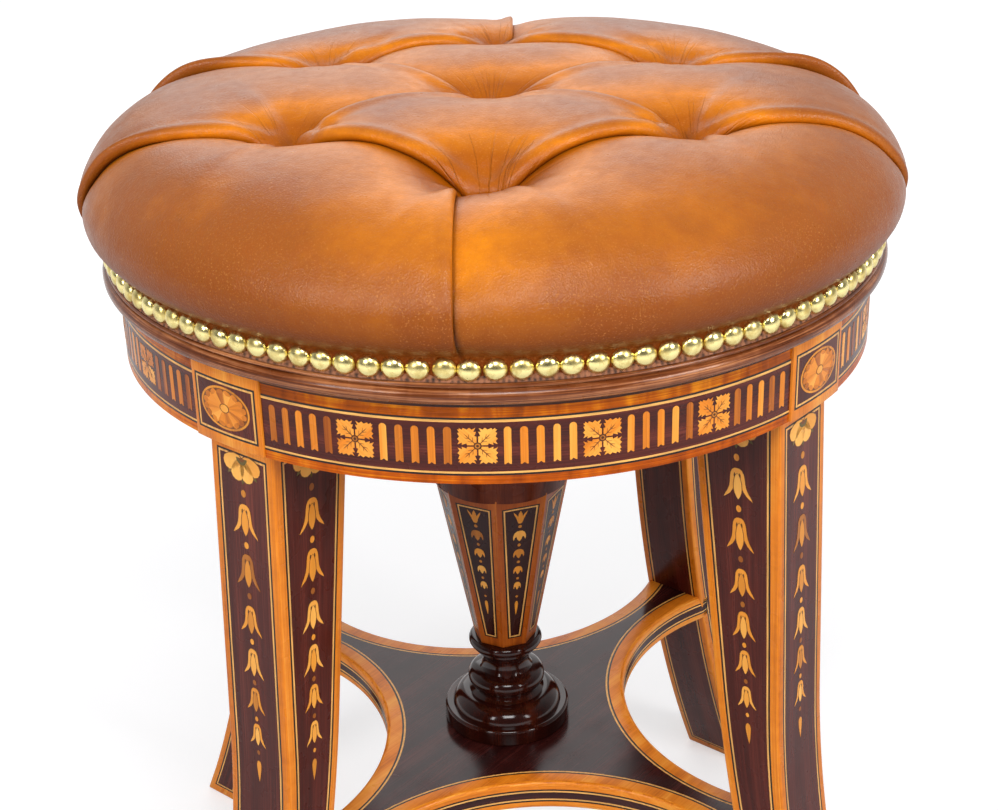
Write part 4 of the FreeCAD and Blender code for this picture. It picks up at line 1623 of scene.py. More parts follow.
@dataclass
class Turnings:
    """The socle under the column and the moulding round the seat, in millimetres."""

    socle_top: float = 147.0
    socle_tall: float = 51.0
    socle_wide: float = 33.2
    socle_core: float = 9.0
    ledge_foot: float = 427.55
    ledge_back: float = 181.5
    ledge_rag: Point = (160.0, 900.0)
    rag_in: float = 0.0026
    rag_up: float = 0.4

    def socle(self) -> None:
        """Turns the socle: a stepped disc, a dome, a ring, a neck and a collar."""
        def at(inset: float, share: float) -> Point:
            """A point by its inset from the rim and its share of the height."""
            return self.socle_wide - inset, self.socle_top + share * self.socle_tall

        points = profile(
            (self.socle_core, self.socle_top), at(1.2, 0), (at(0.35, 0.007), at(0, 0.024), 3),
            at(0, 0.147), (at(0.5, 0.176), at(2.0, 0.184), 10), at(4.2, 0.184),
            (at(6.8, 0.294), at(13.2, 0.345), 10), at(15.6, 0.38), at(15.6, 0.404),
            (at(12.8, 0.496), at(15.6, 0.588), 10), at(19.0, 0.612),
            (at(20.8, 0.706), at(19.2, 0.814), 10), at(16.6, 0.851), at(16.6, 0.882),
            (at(13.8, 0.939), at(16.0, 1.0), 10),
            (self.socle_core, self.socle_top + self.socle_tall))
        Bench.complete(Bench.turned("socle_turning", mm(points), 96), TURNED, 32.0, "stand",
                       "mahogany_turned", "socle")

    def moulding(self) -> None:
        """Turns the half-round moulding, its quirk and its bead."""
        points = profile(
            (170.0, 418.0), (182.6, 418.0), (182.9, 418.5), (183.4, 418.6),
            ((185.6, 421.9), (183.7, 425.0), 12), (182.8, 425.1), (182.8, 425.5),
            ((183.8, 426.4), (182.6, 427.3), 6), (182.4, 427.5), (170.0, 427.5))
        Bench.complete(Bench.turned("rim_moulding", mm(points), 160), RIM, 30.0, "seat",
                       "mahogany_turned", "seat_moulding")

    def ledge(self) -> None:
        """Turns the leather's edge under the nails and makes it ragged."""
        points = [(178.8, 427.5), (182.6, 427.5), (183.2, 427.9), (183.0, 428.6), (182.2, 429.3),
                  (181.6, 430.5), (178.8, 430.5)]
        obj = Bench.turned("leather_ledge", mm(points), 720)
        round_it, up_it = self.ledge_rag
        for vertex in obj.data.vertices:
            spot = vertex.co
            if spot.z > self.ledge_foot * MM and spot.xy.length > self.ledge_back * MM:
                angle = math.atan2(spot.y, spot.x)
                rag = noise.noise(Vector((math.cos(angle) * round_it, math.sin(angle) * round_it,
                                          spot.z * up_it)))
                spot.xy *= 1 + self.rag_in * rag
                spot.z += self.rag_up * MM * rag
        Bench.complete(obj, LEDGE, 60.0, "seat", "tan_leather")

    def build(self) -> None:
        """Makes the turnings."""
        self.socle()
        self.moulding()
        self.ledge()


@dataclass
class Platform:
    """The four-armed stretcher platform with its banded edges."""

    top: float = 147.0 * MM
    bottom: float = 131.0 * MM
    waist: float = 65.56 * MM
    shoulder: float = 163.0 * MM
    half_width: float = 19.2 * MM
    arm_end: float = 168.0 * MM
    spare: float = 14.0 * MM
    round_over: float = 2.0 * MM
    bands: Sizes = (6.2 * MM, 0.95 * MM, 0.95 * MM)
    wall_seams: Sizes = (135.2, 136.1, 137.0, 141.0, 141.9, 142.8)
    wall_woods: tuple[int, ...] = (0, 1, 2, 3, 2, 1, 0)

    def outline(self) -> list[Point]:
        """The outline, its arms longer than they end up.

        Returns:
            Its corners, anticlockwise.
        """
        points: list[Point] = []
        for turn in (0, 90, 180, 270):
            here, middle, there = (math.radians(turn + t) for t in (-45, 0, 45))

            def corner(radius: float, offset: float, angle: float) -> Point:
                """A corner of an arm."""
                return (radius * math.cos(angle) - offset * math.sin(angle),
                        radius * math.sin(angle) + offset * math.cos(angle))

            tip = self.arm_end + self.spare
            points += profile(
                corner(self.shoulder, self.half_width, here),
                (corner(self.waist, 0.0, middle), corner(self.shoulder, -self.half_width, there),
                 44),
                corner(tip, -self.half_width, there), corner(tip, self.half_width, there))
        return points

    @staticmethod
    def inset(obj: Piece, step: float, slot: int) -> None:
        """Insets the wide faces of the top and the foot and dresses what is inside.

        Args:
            obj: the platform.
            step: how wide the strip outside the inset is.
            slot: the finish inside it.
        """
        Bench.edit(obj)
        bpy.ops.mesh.select_all(action="DESELECT")
        mesh = bmesh.from_edit_mesh(obj.data)
        for side in (-1, 1):
            flat = [f for f in mesh.faces if f.normal.z * side > 0.99]
            max(flat, key=lambda f: f.calc_area()).select_set(True)
        mesh.select_flush_mode()
        bmesh.update_edit_mesh(obj.data)
        bpy.ops.mesh.inset(thickness=step, depth=0.0)
        mesh = bmesh.from_edit_mesh(obj.data)
        for face in mesh.faces:
            if face.select:
                face.material_index = slot
        bmesh.update_edit_mesh(obj.data)
        Bench.clear()

    def build(self) -> None:
        """Extrudes the outline, rounds it, insets its bands and trims its arms."""
        obj = Bench.sheet("stretcher_platform", self.outline(), self.top - self.bottom)
        obj.data.transform(Matrix.Translation((0, 0, self.bottom)))
        Bench.bevel(obj, self.round_over, 4, 75.0)
        Bench.paint(obj, SATINWOOD, EBONY, BOX, MAHOGANY_FLAT)
        for slot, step in enumerate(self.bands, 1):
            self.inset(obj, step, slot)
        seams = [z * MM for z in self.wall_seams]
        Bench.cut(obj, 2, seams)
        for polygon in obj.data.polygons:
            if abs(polygon.normal.z) < 0.2:
                polygon.material_index = self.wall_woods[sum(polygon.center.z > z for z in seams)]
        for turn in QUARTERS.values():
            angle = math.radians(turn)
            Bench.saw(obj, self.arm_end, (math.cos(angle), math.sin(angle), 0.0))
        Bench.grain(obj, (0.7071, 0.7071, 0.0))
        Bench.smooth(obj, 40.0)
        Bench.hand_over(obj, "stand", "mahogany_platform", "platform")


# Seat

@dataclass
class Nails:
    """The row of brass nails round the leather's edge."""

    count: int = 113
    radius: float = 5.0 * MM
    dome: float = 3.2 * MM
    sunk: float = 0.15 * MM
    ring: float = 181.8 * MM
    level: float = 433.0 * MM
    tilt: float = 3.0
    stray: float = 0.35 * MM
    rise: float = 0.3 * MM

    def head(self) -> bpy.types.Mesh:
        """One domed head, its back flat at the origin, facing +X.

        Returns:
            Its mesh.
        """
        Bench.clear()
        bpy.ops.mesh.primitive_uv_sphere_add(segments=14, ring_count=10, radius=self.radius)
        obj = Bench.settle("nail")
        Bench.saw(obj, -self.sunk, (0.0, 0.0, -1.0))
        mesh = obj.data
        mesh.transform(Matrix.Diagonal((1, 1, self.dome / self.radius, 1)))
        mesh.transform(Matrix.Rotation(math.pi / 2, 4, "Y"))
        bpy.data.objects.remove(obj)
        return mesh

    def build(self) -> None:
        """Copies the head round the ring, each a little out of true."""
        head, gathered = self.head(), bmesh.new()
        for k in range(self.count):
            known = len(gathered.verts)
            gathered.from_mesh(head)
            gathered.verts.ensure_lookup_table()
            tilt = math.radians(random.uniform(-self.tilt, self.tilt))
            angle = math.tau * k / self.count + random.uniform(-self.stray, self.stray) / self.ring
            level = self.level + random.uniform(-self.rise, self.rise)
            place = (Matrix.Rotation(angle, 4, "Z") @ Matrix.Translation((self.ring, 0, level))
                     @ Matrix.Rotation(tilt, 4, "Y"))
            for vertex in gathered.verts[known:]:
                vertex.co = place @ vertex.co
        Bench.complete(Bench.show("brass_nails", gathered), BRASS, 40.0, "seat", "brass",
                       "brass_studs")


def bell(value: Any, middle: float, width: float) -> Any:
    """A bump of height 1 round a middle."""
    return np.exp(-((value - middle) / width) ** 2)


def ramped(value: Any, low: float, high: float) -> Any:
    """A share that is 0 up to low and 1 from high."""
    return np.clip((value - low) / (high - low), 0, 1)


def eased(share: Any) -> Any:
    """A share from 0 to 1 that starts and ends gently."""
    return share * share * (3 - 2 * share)


@dataclass(frozen=True)
class Tuft:
    """A point where twine draws the leather down, in millimetres of unrolled leather."""

    x: float
    y: float
    depth: float = 18.0
    reach: float = 14.0
    creases: float = 0.4
    blunt: float = 2.0
    gain: float = 0.14

    @property
    def spot(self) -> Array:
        """Its place."""
        return np.array([self.x, self.y])

    def pit(self, points: Array) -> Array:
        """How deep it draws points of the leather down."""
        away = np.hypot(np.hypot(*(points - self.spot).T), self.blunt)
        return self.depth * np.exp(-away / self.reach + self.gain)


@dataclass
class Pleat:
    """One folded tuck between two points of the unrolled leather, in millimetres."""

    start: Array
    end: Array
    over: float
    heights: Sizes = (9.5, 9.0, 7.8, 7.2, 7.8, 9.0, 9.5)
    rim: bool = False
    proud: Point = (0.0, 0.5)
    dip: float = 0.0
    roll: float = 5.4
    tuck: float = 2.4
    taper: float = 9.0
    fade: float = 2.0
    sides: tuple[Triple, ...] = ((0.25, 5.0, 27.0), (0.5, 5.0, 18.0))
    ridge: Triple = (0.35, 6.2, 1.6)
    groove: Triple = (0.3, 10.5, 2.4)
    groove_ends: Point = (18.0, 16.0)
    slack: Point = (0.6, 16.0)
    flat_run: float = 7.0
    under_run: float = 3.4
    bulge_at: Point = (3.5, 3.5)
    bulge_length: float = 0.18
    dip_width: float = 48.0
    dip_along: Point = (0.5, 0.3)
    # Where the painted crease shade lies, and from what fold height it is full.
    seam_at: Point = (0.2, 1.7)
    seam_full: float = 1.4
    slip_full: float = 3.0
    usual: float = 6.0

    def __post_init__(self) -> None:
        """Measures its length, its direction and the direction to the pad on top."""
        span = self.end - self.start
        self.length = float(np.linalg.norm(span))
        self.way = span / self.length
        self.across = np.array([-self.way[1], self.way[0]]) * self.over

    def beside(self, points: Array) -> tuple[Array, Array, Array]:
        """Where points lie beside the pleat.

        Args:
            points: points of the unrolled leather.

        Returns:
            The share of its length, the signed distance off it, and the distance past its ends.
        """
        offset = points - self.start
        along = offset @ self.way
        past = np.maximum(-along, along - self.length)
        share = np.clip(along / self.length, 0, 1)
        return share, offset @ self.across, np.maximum(past, 0.0)

    def height(self, share: Array) -> Array:
        """The height of the fold along it, dying out at a tuft.

        Args:
            share: shares of its length.

        Returns:
            The heights.
        """
        tall = np.interp(share, np.linspace(0, 1, len(self.heights)), self.heights)
        room = share if self.rim else np.minimum(share, 1 - share)
        return tall * eased(ramped(room * self.length, 0.0, self.taper))

    def fold(self, points: Array) -> tuple[Array, Array, Array, Array]:
        """What the pleat does to points of the leather.

        Args:
            points: points of the unrolled leather.

        Returns:
            How deep each lies in the valley before the fold, its lift on the fold, its slip
            sideways and how much painted crease shade it takes.
        """
        share, off, past = self.beside(points)
        tall = self.height(share) * bell(past, 0.0, self.fade)
        top, turn = off >= 0, ramped(off, 0.0, self.roll)
        part, close, wide = self.sides[self.rim]
        valley = tall * (part * np.exp(-np.abs(off) / close)
                         + (1 - part) * np.exp(-np.abs(off) / wide))
        rise = 0.5 * (1 + np.cos(np.pi * turn))
        ends = bell((0.5 - np.abs(share - 0.5)) * self.length, *self.groove_ends)
        least, *groove = self.groove
        crease = (self.ridge[0] * bell(off, *self.ridge[1:])
                  - (least + (1 - least) * ends) * bell(off, *groove))
        slack = self.slack[0] * np.exp(-off / self.slack[1])
        lift = -tall * rise + (crease - slack * (1 - rise)) * tall / self.usual
        bulge, where = self.proud
        lift = (np.where(top, lift, 0.0)
                + bulge * bell(off, *self.bulge_at) * bell(share, where, self.bulge_length)
                - self.dip * bell(off, 0.0, self.dip_width) * bell(share, *self.dip_along))
        out = self.tuck - tall / 2 * np.cos(np.pi * (turn - 0.5)) - self.roll * turn
        flat = (self.tuck - self.roll) * (1 - ramped(off, self.roll, self.roll + self.flat_run))
        slip = np.where(off <= self.roll, out, flat)
        slip = np.where(top, slip, self.tuck * ramped(off, -self.under_run, 0.0))
        slip *= (past <= 0) * ramped(tall, 0.0, self.slip_full)
        # Painted shade for the crease under the roll, where the fold meets the pad beneath.
        seam = (ramped(tall, 0.0, self.seam_full) * bell(off, *self.seam_at)
                * bell(past, 0.0, self.fade))
        return np.where(top, 0.0, valley), lift, slip[:, None] * self.across, seam


@dataclass
class Scatter:
    """Points of the unrolled leather that keep apart, in millimetres."""

    reach: float
    margin: float = 0.4
    cell: float = 3.0
    points: list[Point] = field(default_factory=list)
    cells: dict[tuple[int, int], list[int]] = field(default_factory=dict)

    def square(self, x: float, y: float) -> tuple[int, int]:
        """The cell that a place lies in."""
        return int(x // self.cell), int(y // self.cell)

    def near(self, x: float, y: float, room: float) -> int | None:
        """The point already nearer than room, if there is one.

        Args:
            x: the place across.
            y: the place up.
            room: the distance.

        Returns:
            The point's number, or nothing.
        """
        i, j = self.square(x, y)
        for cell in product(range(i - 1, i + 2), range(j - 1, j + 2)):
            for other in self.cells.get(cell, ()):
                if math.dist(self.points[other], (x, y)) < room:
                    return other
        return None

    def add(self, x: float, y: float) -> int:
        """Adds a point.

        Args:
            x: the place across.
            y: the place up.

        Returns:
            The point's number.
        """
        self.points.append((x, y))
        self.cells.setdefault(self.square(x, y), []).append(len(self.points) - 1)
        return len(self.points) - 1

    def put(self, x: float, y: float, room: float) -> None:
        """Adds a point unless another is nearer than room, or it is off the leather."""
        if math.hypot(x, y) <= self.reach - self.margin and self.near(x, y, room) is None:
            self.add(x, y)


@dataclass
class Cushion:
    """The tufted leather seat: pads drawn down at seven tufts, with folded tucks between."""

    side_view: Points = (
        (0, 501.5), (40, 501.4), (80, 501.0), (110, 499.4), (130.6, 497.0), (151.2, 493.2),
        (166.8, 487.6), (179.2, 479.1), (188.1, 468.4), (192.1, 459.9), (192.6, 453.0),
        (190.8, 446.5), (186.8, 441.4), (183.4, 438.9), (182.0, 437.4), (181.8, 434.0),
        (181.8, 428.0))
    lining: Points = (
        (179.0, 428.0), (179.0, 440.6), (187.2, 446.6), (188.4, 454.4), (183.0, 466.6),
        (168.5, 470.8), (120.0, 470.9), (60.0, 470.9), (20.0, 470.9))
    middle: Tuft = Tuft(0.0, 0.0, 18.0, 15.0, 0.45)
    front: Tuft = Tuft(-12.8, -104.2, 26.0, 19.0, 1.0)
    right: Tuft = Tuft(83.9, -63.2, 20.0, creases=0.5)
    back_right: Tuft = Tuft(96.6, 41.0)
    back: Tuft = Tuft(12.8, 104.2)
    back_left: Tuft = Tuft(-76.0, 69.0)
    left: Tuft = Tuft(-96.6, -41.0, 20.0, creases=0.5)
    front_fold: Point = (-24.3, -105.0)
    back_fold: Point = (22.0, 107.0)
    side_heights: Sizes = (9.0, 8.0, 7.0, 6.4, 5.4, 3.4, 0.6)
    end_heights: Sizes = (5.0, 4.8, 4.4, 4.0, 3.6, 2.4, 0.6)
    rim_margin: float = 4.0
    rim_count: int = 560
    touching: float = 0.1
    spacing: float = 1.5
    wide_spacing: float = 2.2
    wide_from: float = 6.0
    rows: Sizes = (
        0.35, -0.6, 0.75, 1.2, -1.3, 1.65, 2.1, -2.2, 2.55, 3.0, -3.4, 3.45, 3.9, 4.35, 4.8, -5.0,
        5.3, 6.0, 6.9, -7.0, 8.1, -9.6, 9.7, 11.8, -13.0, 14.5)
    row_rooms: Triple = (5.0, 0.3, 0.8)
    rings: Sizes = (1.5, 3.0, 4.6, 6.4, 8.4, 10.6, 13.0, 15.6, 18.4)
    ring_step: float = 1.4
    ring_room: float = 1.0
    grid: Point = (2.7, 2.35)
    grid_room: float = 1.9
    curve_steps: int = 16
    lumps: tuple[Triple, ...] = ((0.8, 58.0, 3.1), (0.25, 21.0, 8.4))
    crease_lift: float = 0.7
    crease_at: Point = (12.0, 13.0)
    crease_reach: Point = (0.5, 46.0)
    creases_round: float = 5.5
    crease_drift: Point = (7.0, 0.02)
    draw_in: Point = (3.0, 9.0)
    draw_out: Point = (14.0, 38.0)
    tuft_shift: float = 0.37
    held_edge: Point = (3.0, 15.0)
    calm_edge: Point = (10.0, 50.0)
    deep: float = 12.0

    def __post_init__(self) -> None:
        """Measures the side view and places the pleats."""
        self.path = Path(self.rounded())
        self.reach = float(self.path.lengths[-1])
        self.tufts = [self.middle, self.front, self.right, self.back_right, self.back,
                      self.back_left, self.left]
        inner = ((self.front, self.left, -1), (self.front, self.right, 1),
                 (self.left, self.middle, -1), (self.right, self.middle, 1),
                 (self.middle, self.back_left, 1), (self.middle, self.back_right, -1),
                 (self.back_left, self.back, 1), (self.back_right, self.back, -1))
        self.pleats = [Pleat(a.spot, b.spot, over) for a, b, over in inner]
        side, ends = self.side_heights, self.end_heights
        rims = ((self.front_fold, -9.6, -1, ends, (0.0, 0.5), 2.5),
                (self.right.spot, 76.5, 1, side, (0.0, 0.5), 0.0),
                (self.back_right.spot, 95.0, 1, side, (5.0, 0.5), 0.0),
                (self.back_fold, 171.0, 1, ends, (2.6, 0.42), 4.2),
                (self.back_left.spot, -113.0, -1, side, (4.5, 0.5), 0.0),
                (self.left.spot, -85.0, -1, side, (3.2, 0.58), 0.0))
        for start, bearing, over, heights, proud, dip in rims:
            angle = math.radians(bearing - 90)
            end = np.array([math.cos(angle), math.sin(angle)]) * (self.reach - self.rim_margin)
            self.pleats.append(Pleat(np.array(start), end, over, heights, True, proud, dip))

    def rounded(self) -> list[Point]:
        """The side view's points joined by a smooth curve.

        Returns:
            The curve's points.
        """
        p = np.array([self.side_view[0], *self.side_view, self.side_view[-1]], float)
        curve = []
        for a, b, c, d in zip(p, p[1:], p[2:], p[3:]):
            for t in np.linspace(0, 1, self.curve_steps, endpoint=False):
                curve.append(0.5 * (2 * b + (c - a) * t + (2 * a - 5 * b + 4 * c - d) * t * t
                                    + (3 * b - a - 3 * c + d) * t ** 3))
        return [tuple(point) for point in (*curve, p[-1])]

    def seeds(self) -> tuple[list[Point], list[tuple[int, int]]]:
        """Points over the unrolled leather, dense in rows beside each pleat.

        Returns:
            The points, and the edges that have to be kept.
        """
        made, edges, count = Scatter(self.reach), [], self.rim_count
        for k in range(count):
            angle = math.tau * k / count
            made.add(self.reach * math.cos(angle), self.reach * math.sin(angle))
            edges.append((k, (k + 1) % count))
        for pleat in self.pleats:
            steps, last = int(pleat.length / self.spacing), None
            for k in range(steps + 1):
                x, y = (float(v) for v in pleat.start + (pleat.end - pleat.start) * k / steps)
                index = made.near(x, y, self.touching)
                index = made.add(x, y) if index is None else index
                if last is not None and index != last:
                    edges.append((last, index))
                last = index
        bound, close, loose = self.row_rooms
        for off in self.rows:
            gap = self.spacing if abs(off) < self.wide_from else self.wide_spacing
            room = close if abs(off) < bound else loose
            for pleat in self.pleats:
                for k in range(int(pleat.length / gap) + 1):
                    spot = pleat.start + pleat.way * (k + 0.5) * gap + pleat.across * off
                    made.put(float(spot[0]), float(spot[1]), room)
        for ring in self.rings:
            for tuft in self.tufts:
                for k in range(int(math.tau * ring / self.ring_step)):
                    angle = self.ring_step * k / ring
                    made.put(tuft.x + ring * math.cos(angle), tuft.y + ring * math.sin(angle),
                             self.ring_room)
        columns, lines = (range(int(-self.reach / step) - 1, int(self.reach / step) + 2)
                          for step in self.grid)
        for j, i in product(lines, columns):
            made.put((i + 0.5 * (j % 2)) * self.grid[0], j * self.grid[1], self.grid_room)
        return made.points, edges

    def relief(self, points: Array) -> tuple[Array, Array, Array]:
        """How far each point is drawn in, and how far it slips sideways.

        Args:
            points: points of the unrolled leather.

        Returns:
            The height above the side view, the sideways slip, and its painted crease shade.
        """
        pits = sum(tuft.pit(points) ** 3 for tuft in self.tufts)
        valleys, lifts, slips, seams = zip(*(pleat.fold(points) for pleat in self.pleats))
        valley = sum(v ** 3 for v in valleys)
        height = sum(lifts) - pits ** (1 / 3) - valley ** (1 / 3)
        # The last term gathers each pleat's painted crease shade.
        return height, sum(slips), np.maximum.reduce([np.zeros(len(points)), *seams])

    def wrinkles(self, x: float, y: float) -> float:
        """Fine folds that run into the tufts, and the slow unevenness of hand stuffing.

        Args:
            x: a place across the unrolled leather.
            y: the place up it.

        Returns:
            The lift in millimetres.
        """
        rise = sum(tall * noise.noise(Vector((x / wide, y / wide, shift)))
                   for tall, wide, shift in self.lumps)
        for k, tuft in enumerate(self.tufts):
            away = math.hypot(x - tuft.x, y - tuft.y)
            if self.crease_reach[0] < away < self.crease_reach[1]:
                ax, ay = ((a / away) * self.creases_round for a in (x - tuft.x, y - tuft.y))
                depth = k * self.crease_drift[0] + away * self.crease_drift[1]
                fold = noise.noise(Vector((ax, ay, depth)))
                rise += self.crease_lift * fold * bell(away, *self.crease_at)
        return rise

    def pull(self, flat: Array) -> Array:
        """The way from the nearest tuft to each point and how much it wrinkles the hide.

        Args:
            flat: points of the unrolled leather.

        Returns:
            Per point the way in metres, a number for the tuft, and the wrinkling.
        """
        away = flat[:, None, :] - np.array([tuft.spot for tuft in self.tufts])[None]
        nearest = np.argmin(np.hypot(away[..., 0], away[..., 1]), axis=1)
        offset = away[np.arange(len(flat)), nearest]
        gone = np.hypot(*offset.T)
        creases = np.array([tuft.creases for tuft in self.tufts])[nearest]
        draw = creases * ramped(gone, *self.draw_in) * (1 - ramped(gone, *self.draw_out))
        return np.column_stack([offset * MM, nearest * self.tuft_shift, draw])

    def surface(self) -> tuple[Array, list[tuple[int, ...]], Array]:
        """The leather's outer surface.

        Returns:
            Its points in metres, its triangles, and per point its crest, painted crease shade, pull
            and draw.
        """
        points, edges = self.seeds()
        made = geometry.delaunay_2d_cdt([Vector(p) for p in points], edges, [], 0, 1e-5)
        flat = np.array([tuple(p) for p in made[0]], float)
        relief, slip, seam = self.relief(flat)
        edge = self.reach - np.hypot(*flat.T)
        held = eased(ramped(edge, *self.held_edge))
        relief = relief * held + ramped(edge, *self.calm_edge) * np.array(
            [self.wrinkles(x, y) for x, y in flat])
        moved = flat + slip * held[:, None]
        length, span = np.minimum(np.hypot(*moved.T), self.reach), 1.5
        angle = np.arctan2(moved[:, 1], moved[:, 0])
        radius, height = self.path.spot(length)
        dr, dz = self.path.spot(length + span) - self.path.spot(length - span)
        size = np.maximum(np.hypot(dr, dz), 1e-9)
        radius, height = radius - dz / size * relief, height + dr / size * relief
        places = np.stack([radius * np.cos(angle), radius * np.sin(angle), height], 1) * MM
        marks = np.column_stack([ramped(relief, -self.deep, 0.0), seam * held, self.pull(flat)])
        return places, [tuple(f) for f in made[2]], marks

    def build(self) -> None:
        """Makes the leather a closed piece over its stuffing."""
        places, faces, marks = self.surface()
        mesh = bmesh.new()
        # The second layer carries the painted shade of the tuck creases.
        crest, seam, draw = (mesh.verts.layers.float.new(n) for n in ("crest", "seam", "draw"))
        pull = mesh.verts.layers.float_vector.new("pull")
        verts = [mesh.verts.new(p) for p in places]
        for vertex, mark in zip(verts, marks.tolist()):
            vertex[crest], vertex[seam], vertex[draw] = mark[0], mark[1], mark[5]
            vertex[pull] = mark[2:5]
        for face in faces:
            mesh.faces.new([verts[i] for i in face])
        mesh.normal_update()
        if sum(f.normal.z * f.calc_area() for f in mesh.faces) < 0:
            bmesh.ops.reverse_faces(mesh, faces=mesh.faces[:])
        self.line_inside(mesh)
        obj = Bench.show("tufted_seat", mesh)
        Bench.paint(obj, HIDE)
        Bench.take(obj)
        bpy.ops.object.shade_smooth()
        Bench.hand_over(obj, "seat", "tan_leather", "seat_cover")

    def line_inside(self, mesh: bmesh.types.BMesh) -> None:
        """Closes the leather with an inner face that clears the board and the stuffing.

        Args:
            mesh: the outer surface, which gets the lining.
        """
        ring = [e for e in mesh.edges if e.is_boundary]
        for radius, height in self.lining:
            grown = bmesh.ops.extrude_edge_only(mesh, edges=ring)["geom"]
            ring = [g for g in grown if isinstance(g, bmesh.types.BMEdge) and g.is_boundary]
            for vertex in {v for e in ring for v in e.verts}:
                vertex.co = (vertex.co.xy.normalized() * radius * MM).to_3d()
                vertex.co.z = height * MM
        bmesh.ops.edgeloop_fill(mesh, edges=ring)


@dataclass
class Stuffing:
    """The hair stuffing under its scrim, on the board."""

    steps: int = 140
    lump: float = 0.4 * MM
    lumps: float = 130.0

    def build(self) -> None:
        """Turns the firm dome and roughens it."""
        points = profile((0.2, 440.1), (178.3, 440.1), ((186.4, 446.2), (187.2, 454.0)),
                         ((182.0, 466.0), (168.0, 470.0)), (120.0, 470.2), (60.0, 470.2),
                         (0.2, 470.2))
        obj = Bench.turned("hair_stuffing", mm(points), self.steps)
        for vertex in obj.data.vertices:
            vertex.co.z -= self.lump * max(0.0, noise.noise(vertex.co * self.lumps))
        Bench.complete(obj, SCRIM, 50.0, "seat", "hair_stuffing", "first_stuffing")


@dataclass
class Screw:
    """The rising screw with its square thread."""

    crest: float = 9.5 * MM
    root: float = 7.4 * MM
    pitch: float = 6.0 * MM
    shoulder: float = 247.5 * MM
    plate: float = 408.2 * MM
    spigot: float = 6.0 * MM
    tip: float = 232.3 * MM
    head: float = 418.5 * MM
    core: float = 0.2 * MM

    def thread(self) -> Piece:
        """Winds the thread and saws it off square at both ends.

        Returns:
            The thread.
        """
        start = self.shoulder - 2 * self.pitch
        tooth = ((self.root, 0.0), (self.root, 0.42), (self.crest, 0.5), (self.crest, 0.92),
                 (self.root, 1.0))
        obj = Bench.chain("screw_thread", [(r, start + share * self.pitch) for r, share in tooth])
        Bench.clear()
        Bench.modify(obj, "SCREW", angle=math.tau, screw_offset=self.pitch, steps=36,
                     iterations=int((self.plate - start) / self.pitch) + 3, render_steps=36,
                     axis="Z", use_merge_vertices=True, merge_threshold=Bench.weld)
        Bench.edit(obj)
        bpy.ops.mesh.remove_doubles(threshold=Bench.weld)
        Bench.saw(obj, -self.shoulder, (0.0, 0.0, -1.0))
        Bench.saw(obj, self.plate, (0.0, 0.0, 1.0))
        Bench.edit(obj)
        Bench.face_out()
        return obj

    def build(self) -> None:
        """Joins the thread to its plain ends."""
        tail = [(self.core, self.tip), (self.spigot - MM, self.tip),
                (self.spigot, self.tip + MM), (self.spigot, self.shoulder),
                (self.core, self.shoulder)]
        head = [(self.core, self.plate), (self.crest, self.plate), (self.crest, self.head),
                (self.core, self.head)]
        whole = Bench.join([self.thread(), Bench.turned("screw_tail", tail, 40),
                            Bench.turned("screw_head", head, 48)], "rising_screw")
        Bench.complete(whole, STEEL, 40.0, "seat", "steel", "seat_screw")


class Carcass:
    """The CAD pieces that stay: their finishes."""

    finishes: dict[Finish, str] = {
        BEECH_X: "glue_blocks cross_rail_x platform_pegs seat_board", BEECH_Y: "cross_rail_y",
        IRON: "screw_nut seat_plate", TWINE: "tuft_twines", HEAD: "column",
        STEEL: "nut_screws column_screws column_bolt plate_screws stop_washer stop_nut stop_pin"}

    def build(self) -> None:
        """Dresses each CAD piece that stays."""
        for finish, nodes in self.finishes.items():
            for node in nodes.split():
                Bench.paint(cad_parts[node], finish)
                LOG.info("%s: dressed", node)


# Studio

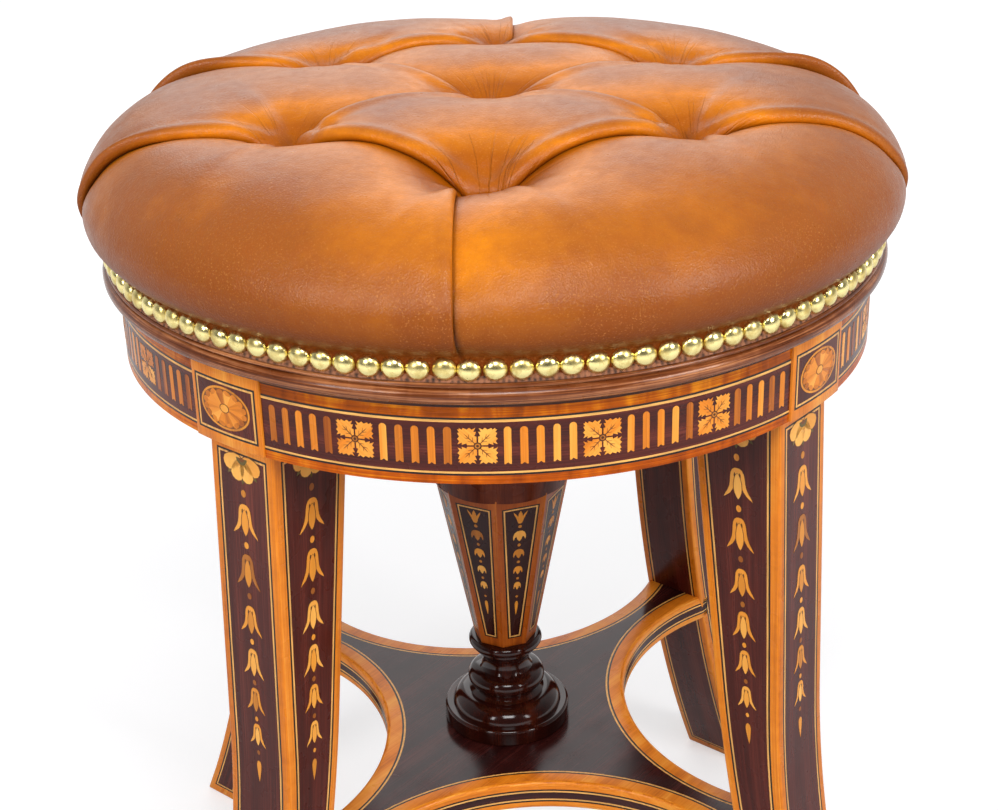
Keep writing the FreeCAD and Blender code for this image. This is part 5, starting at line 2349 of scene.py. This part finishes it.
@dataclass
class Studio:
    """The white floor, the soft lamps and the camera."""

    camera_place: Triple = (-0.07717, -0.84289, 0.7332)
    right: Triple = (0.99438, -0.10309, -0.02410)
    up: Triple = (0.06591, 0.42463, 0.90296)
    back: Triple = (-0.08285, -0.89948, 0.42904)
    lens: float = 67.25
    floor_size: float = 14.0
    floor_gap: float = 0.2 * MM
    aim: Triple = (0.0, 0.0, 0.35)
    room_light: float = 0.41
    behind_camera: Point = (-0.35, 0.1)
    behind_stool: Point = (0.75, 0.8)

    def camera(self) -> None:
        """Stands the camera where the photograph was taken from."""
        data = bpy.data.cameras.new("camera")
        data.lens, data.sensor_width = self.lens, 36.0
        data.clip_start, data.clip_end = 0.05, 50.0
        camera = bpy.data.objects.new("camera", data)
        turn = Matrix((self.right, self.up, self.back)).transposed().to_4x4()
        camera.matrix_world = Matrix.Translation(self.camera_place) @ turn
        bpy.context.scene.collection.objects.link(camera)
        bpy.context.scene.camera = camera

    def floor(self) -> None:
        """Lays a large pale floor just under the feet."""
        Bench.clear()
        bpy.ops.mesh.primitive_plane_add(size=self.floor_size, location=(0, 0, -self.floor_gap))
        floor = Bench.settle("studio_floor")
        floor.data.materials.append(Backdrop().material())

    def lamp(self, name: str, place: Sequence[float], size: float, watts: float) -> None:
        """Hangs one soft square lamp facing the stool.

        Args:
            name: the lamp's name.
            place: where it hangs.
            size: the length of its side.
            watts: its power.
        """
        data = bpy.data.lights.new(f"lamp_{name}", "AREA")
        data.size, data.energy = size, watts
        lamp = bpy.data.objects.new(f"lamp_{name}", data)
        lamp.location = place
        lamp.rotation_mode = "QUATERNION"
        lamp.rotation_quaternion = (Vector(self.aim) - Vector(place)).to_track_quat("-Z", "Y")
        bpy.context.scene.collection.objects.link(lamp)

    def world(self) -> None:
        """Lights the room evenly; it is white behind the stool and dim behind the camera."""
        world = bpy.data.worlds.new("white_room")
        bpy.context.scene.world = world
        g = Graph(world, "Background")
        rays = g.node("LightPath").outputs
        seen = g.math("MAXIMUM", rays["Is Camera Ray"], rays["Is Transmission Ray"])
        way = g.add("SeparateXYZ", {0: g.add("TexCoord")}, 1)
        (start, dim), (end, bright) = self.behind_camera, self.behind_stool
        strength = g.add("Mix", {
            0: rays["Is Glossy Ray"], 2: g.spread(seen, self.room_light, 1.0),
            3: g.spread(way, dim, bright, start, end)})
        g.finish({"Color": (1.0, 1.0, 1.0, 1.0), "Strength": strength})

    def build(self) -> None:
        """Sets the studio up."""
        self.camera()
        self.floor()
        self.world()
        self.lamp("left", (-1.3, -1.35, 1.3), 0.7, 15.5)
        self.lamp("right", (1.4, -1.35, 1.25), 0.7, 19.5)
        self.lamp("front", (-0.05, -1.3, 1.65), 0.6, 14.5)
        self.lamp("back", (0.0, 2.0, 1.5), 1.6, 10.0)
        bpy.context.scene.view_settings.view_transform = "Standard"


def main() -> None:
    """Builds the stool's looks in order."""
    logging.basicConfig(level=logging.INFO, format="%(name)s %(message)s")
    random.seed(11)
    noise.seed_set(11)
    Studio().build()
    BOOK.draw()
    Carcass().build()
    SabreLeg().build()
    Frieze().build()
    Column().build()
    Turnings().build()
    Platform().build()
    Screw().build()
    Stuffing().build()
    Nails().build()
    Cushion().build()


if __name__ == "__main__":
    main()
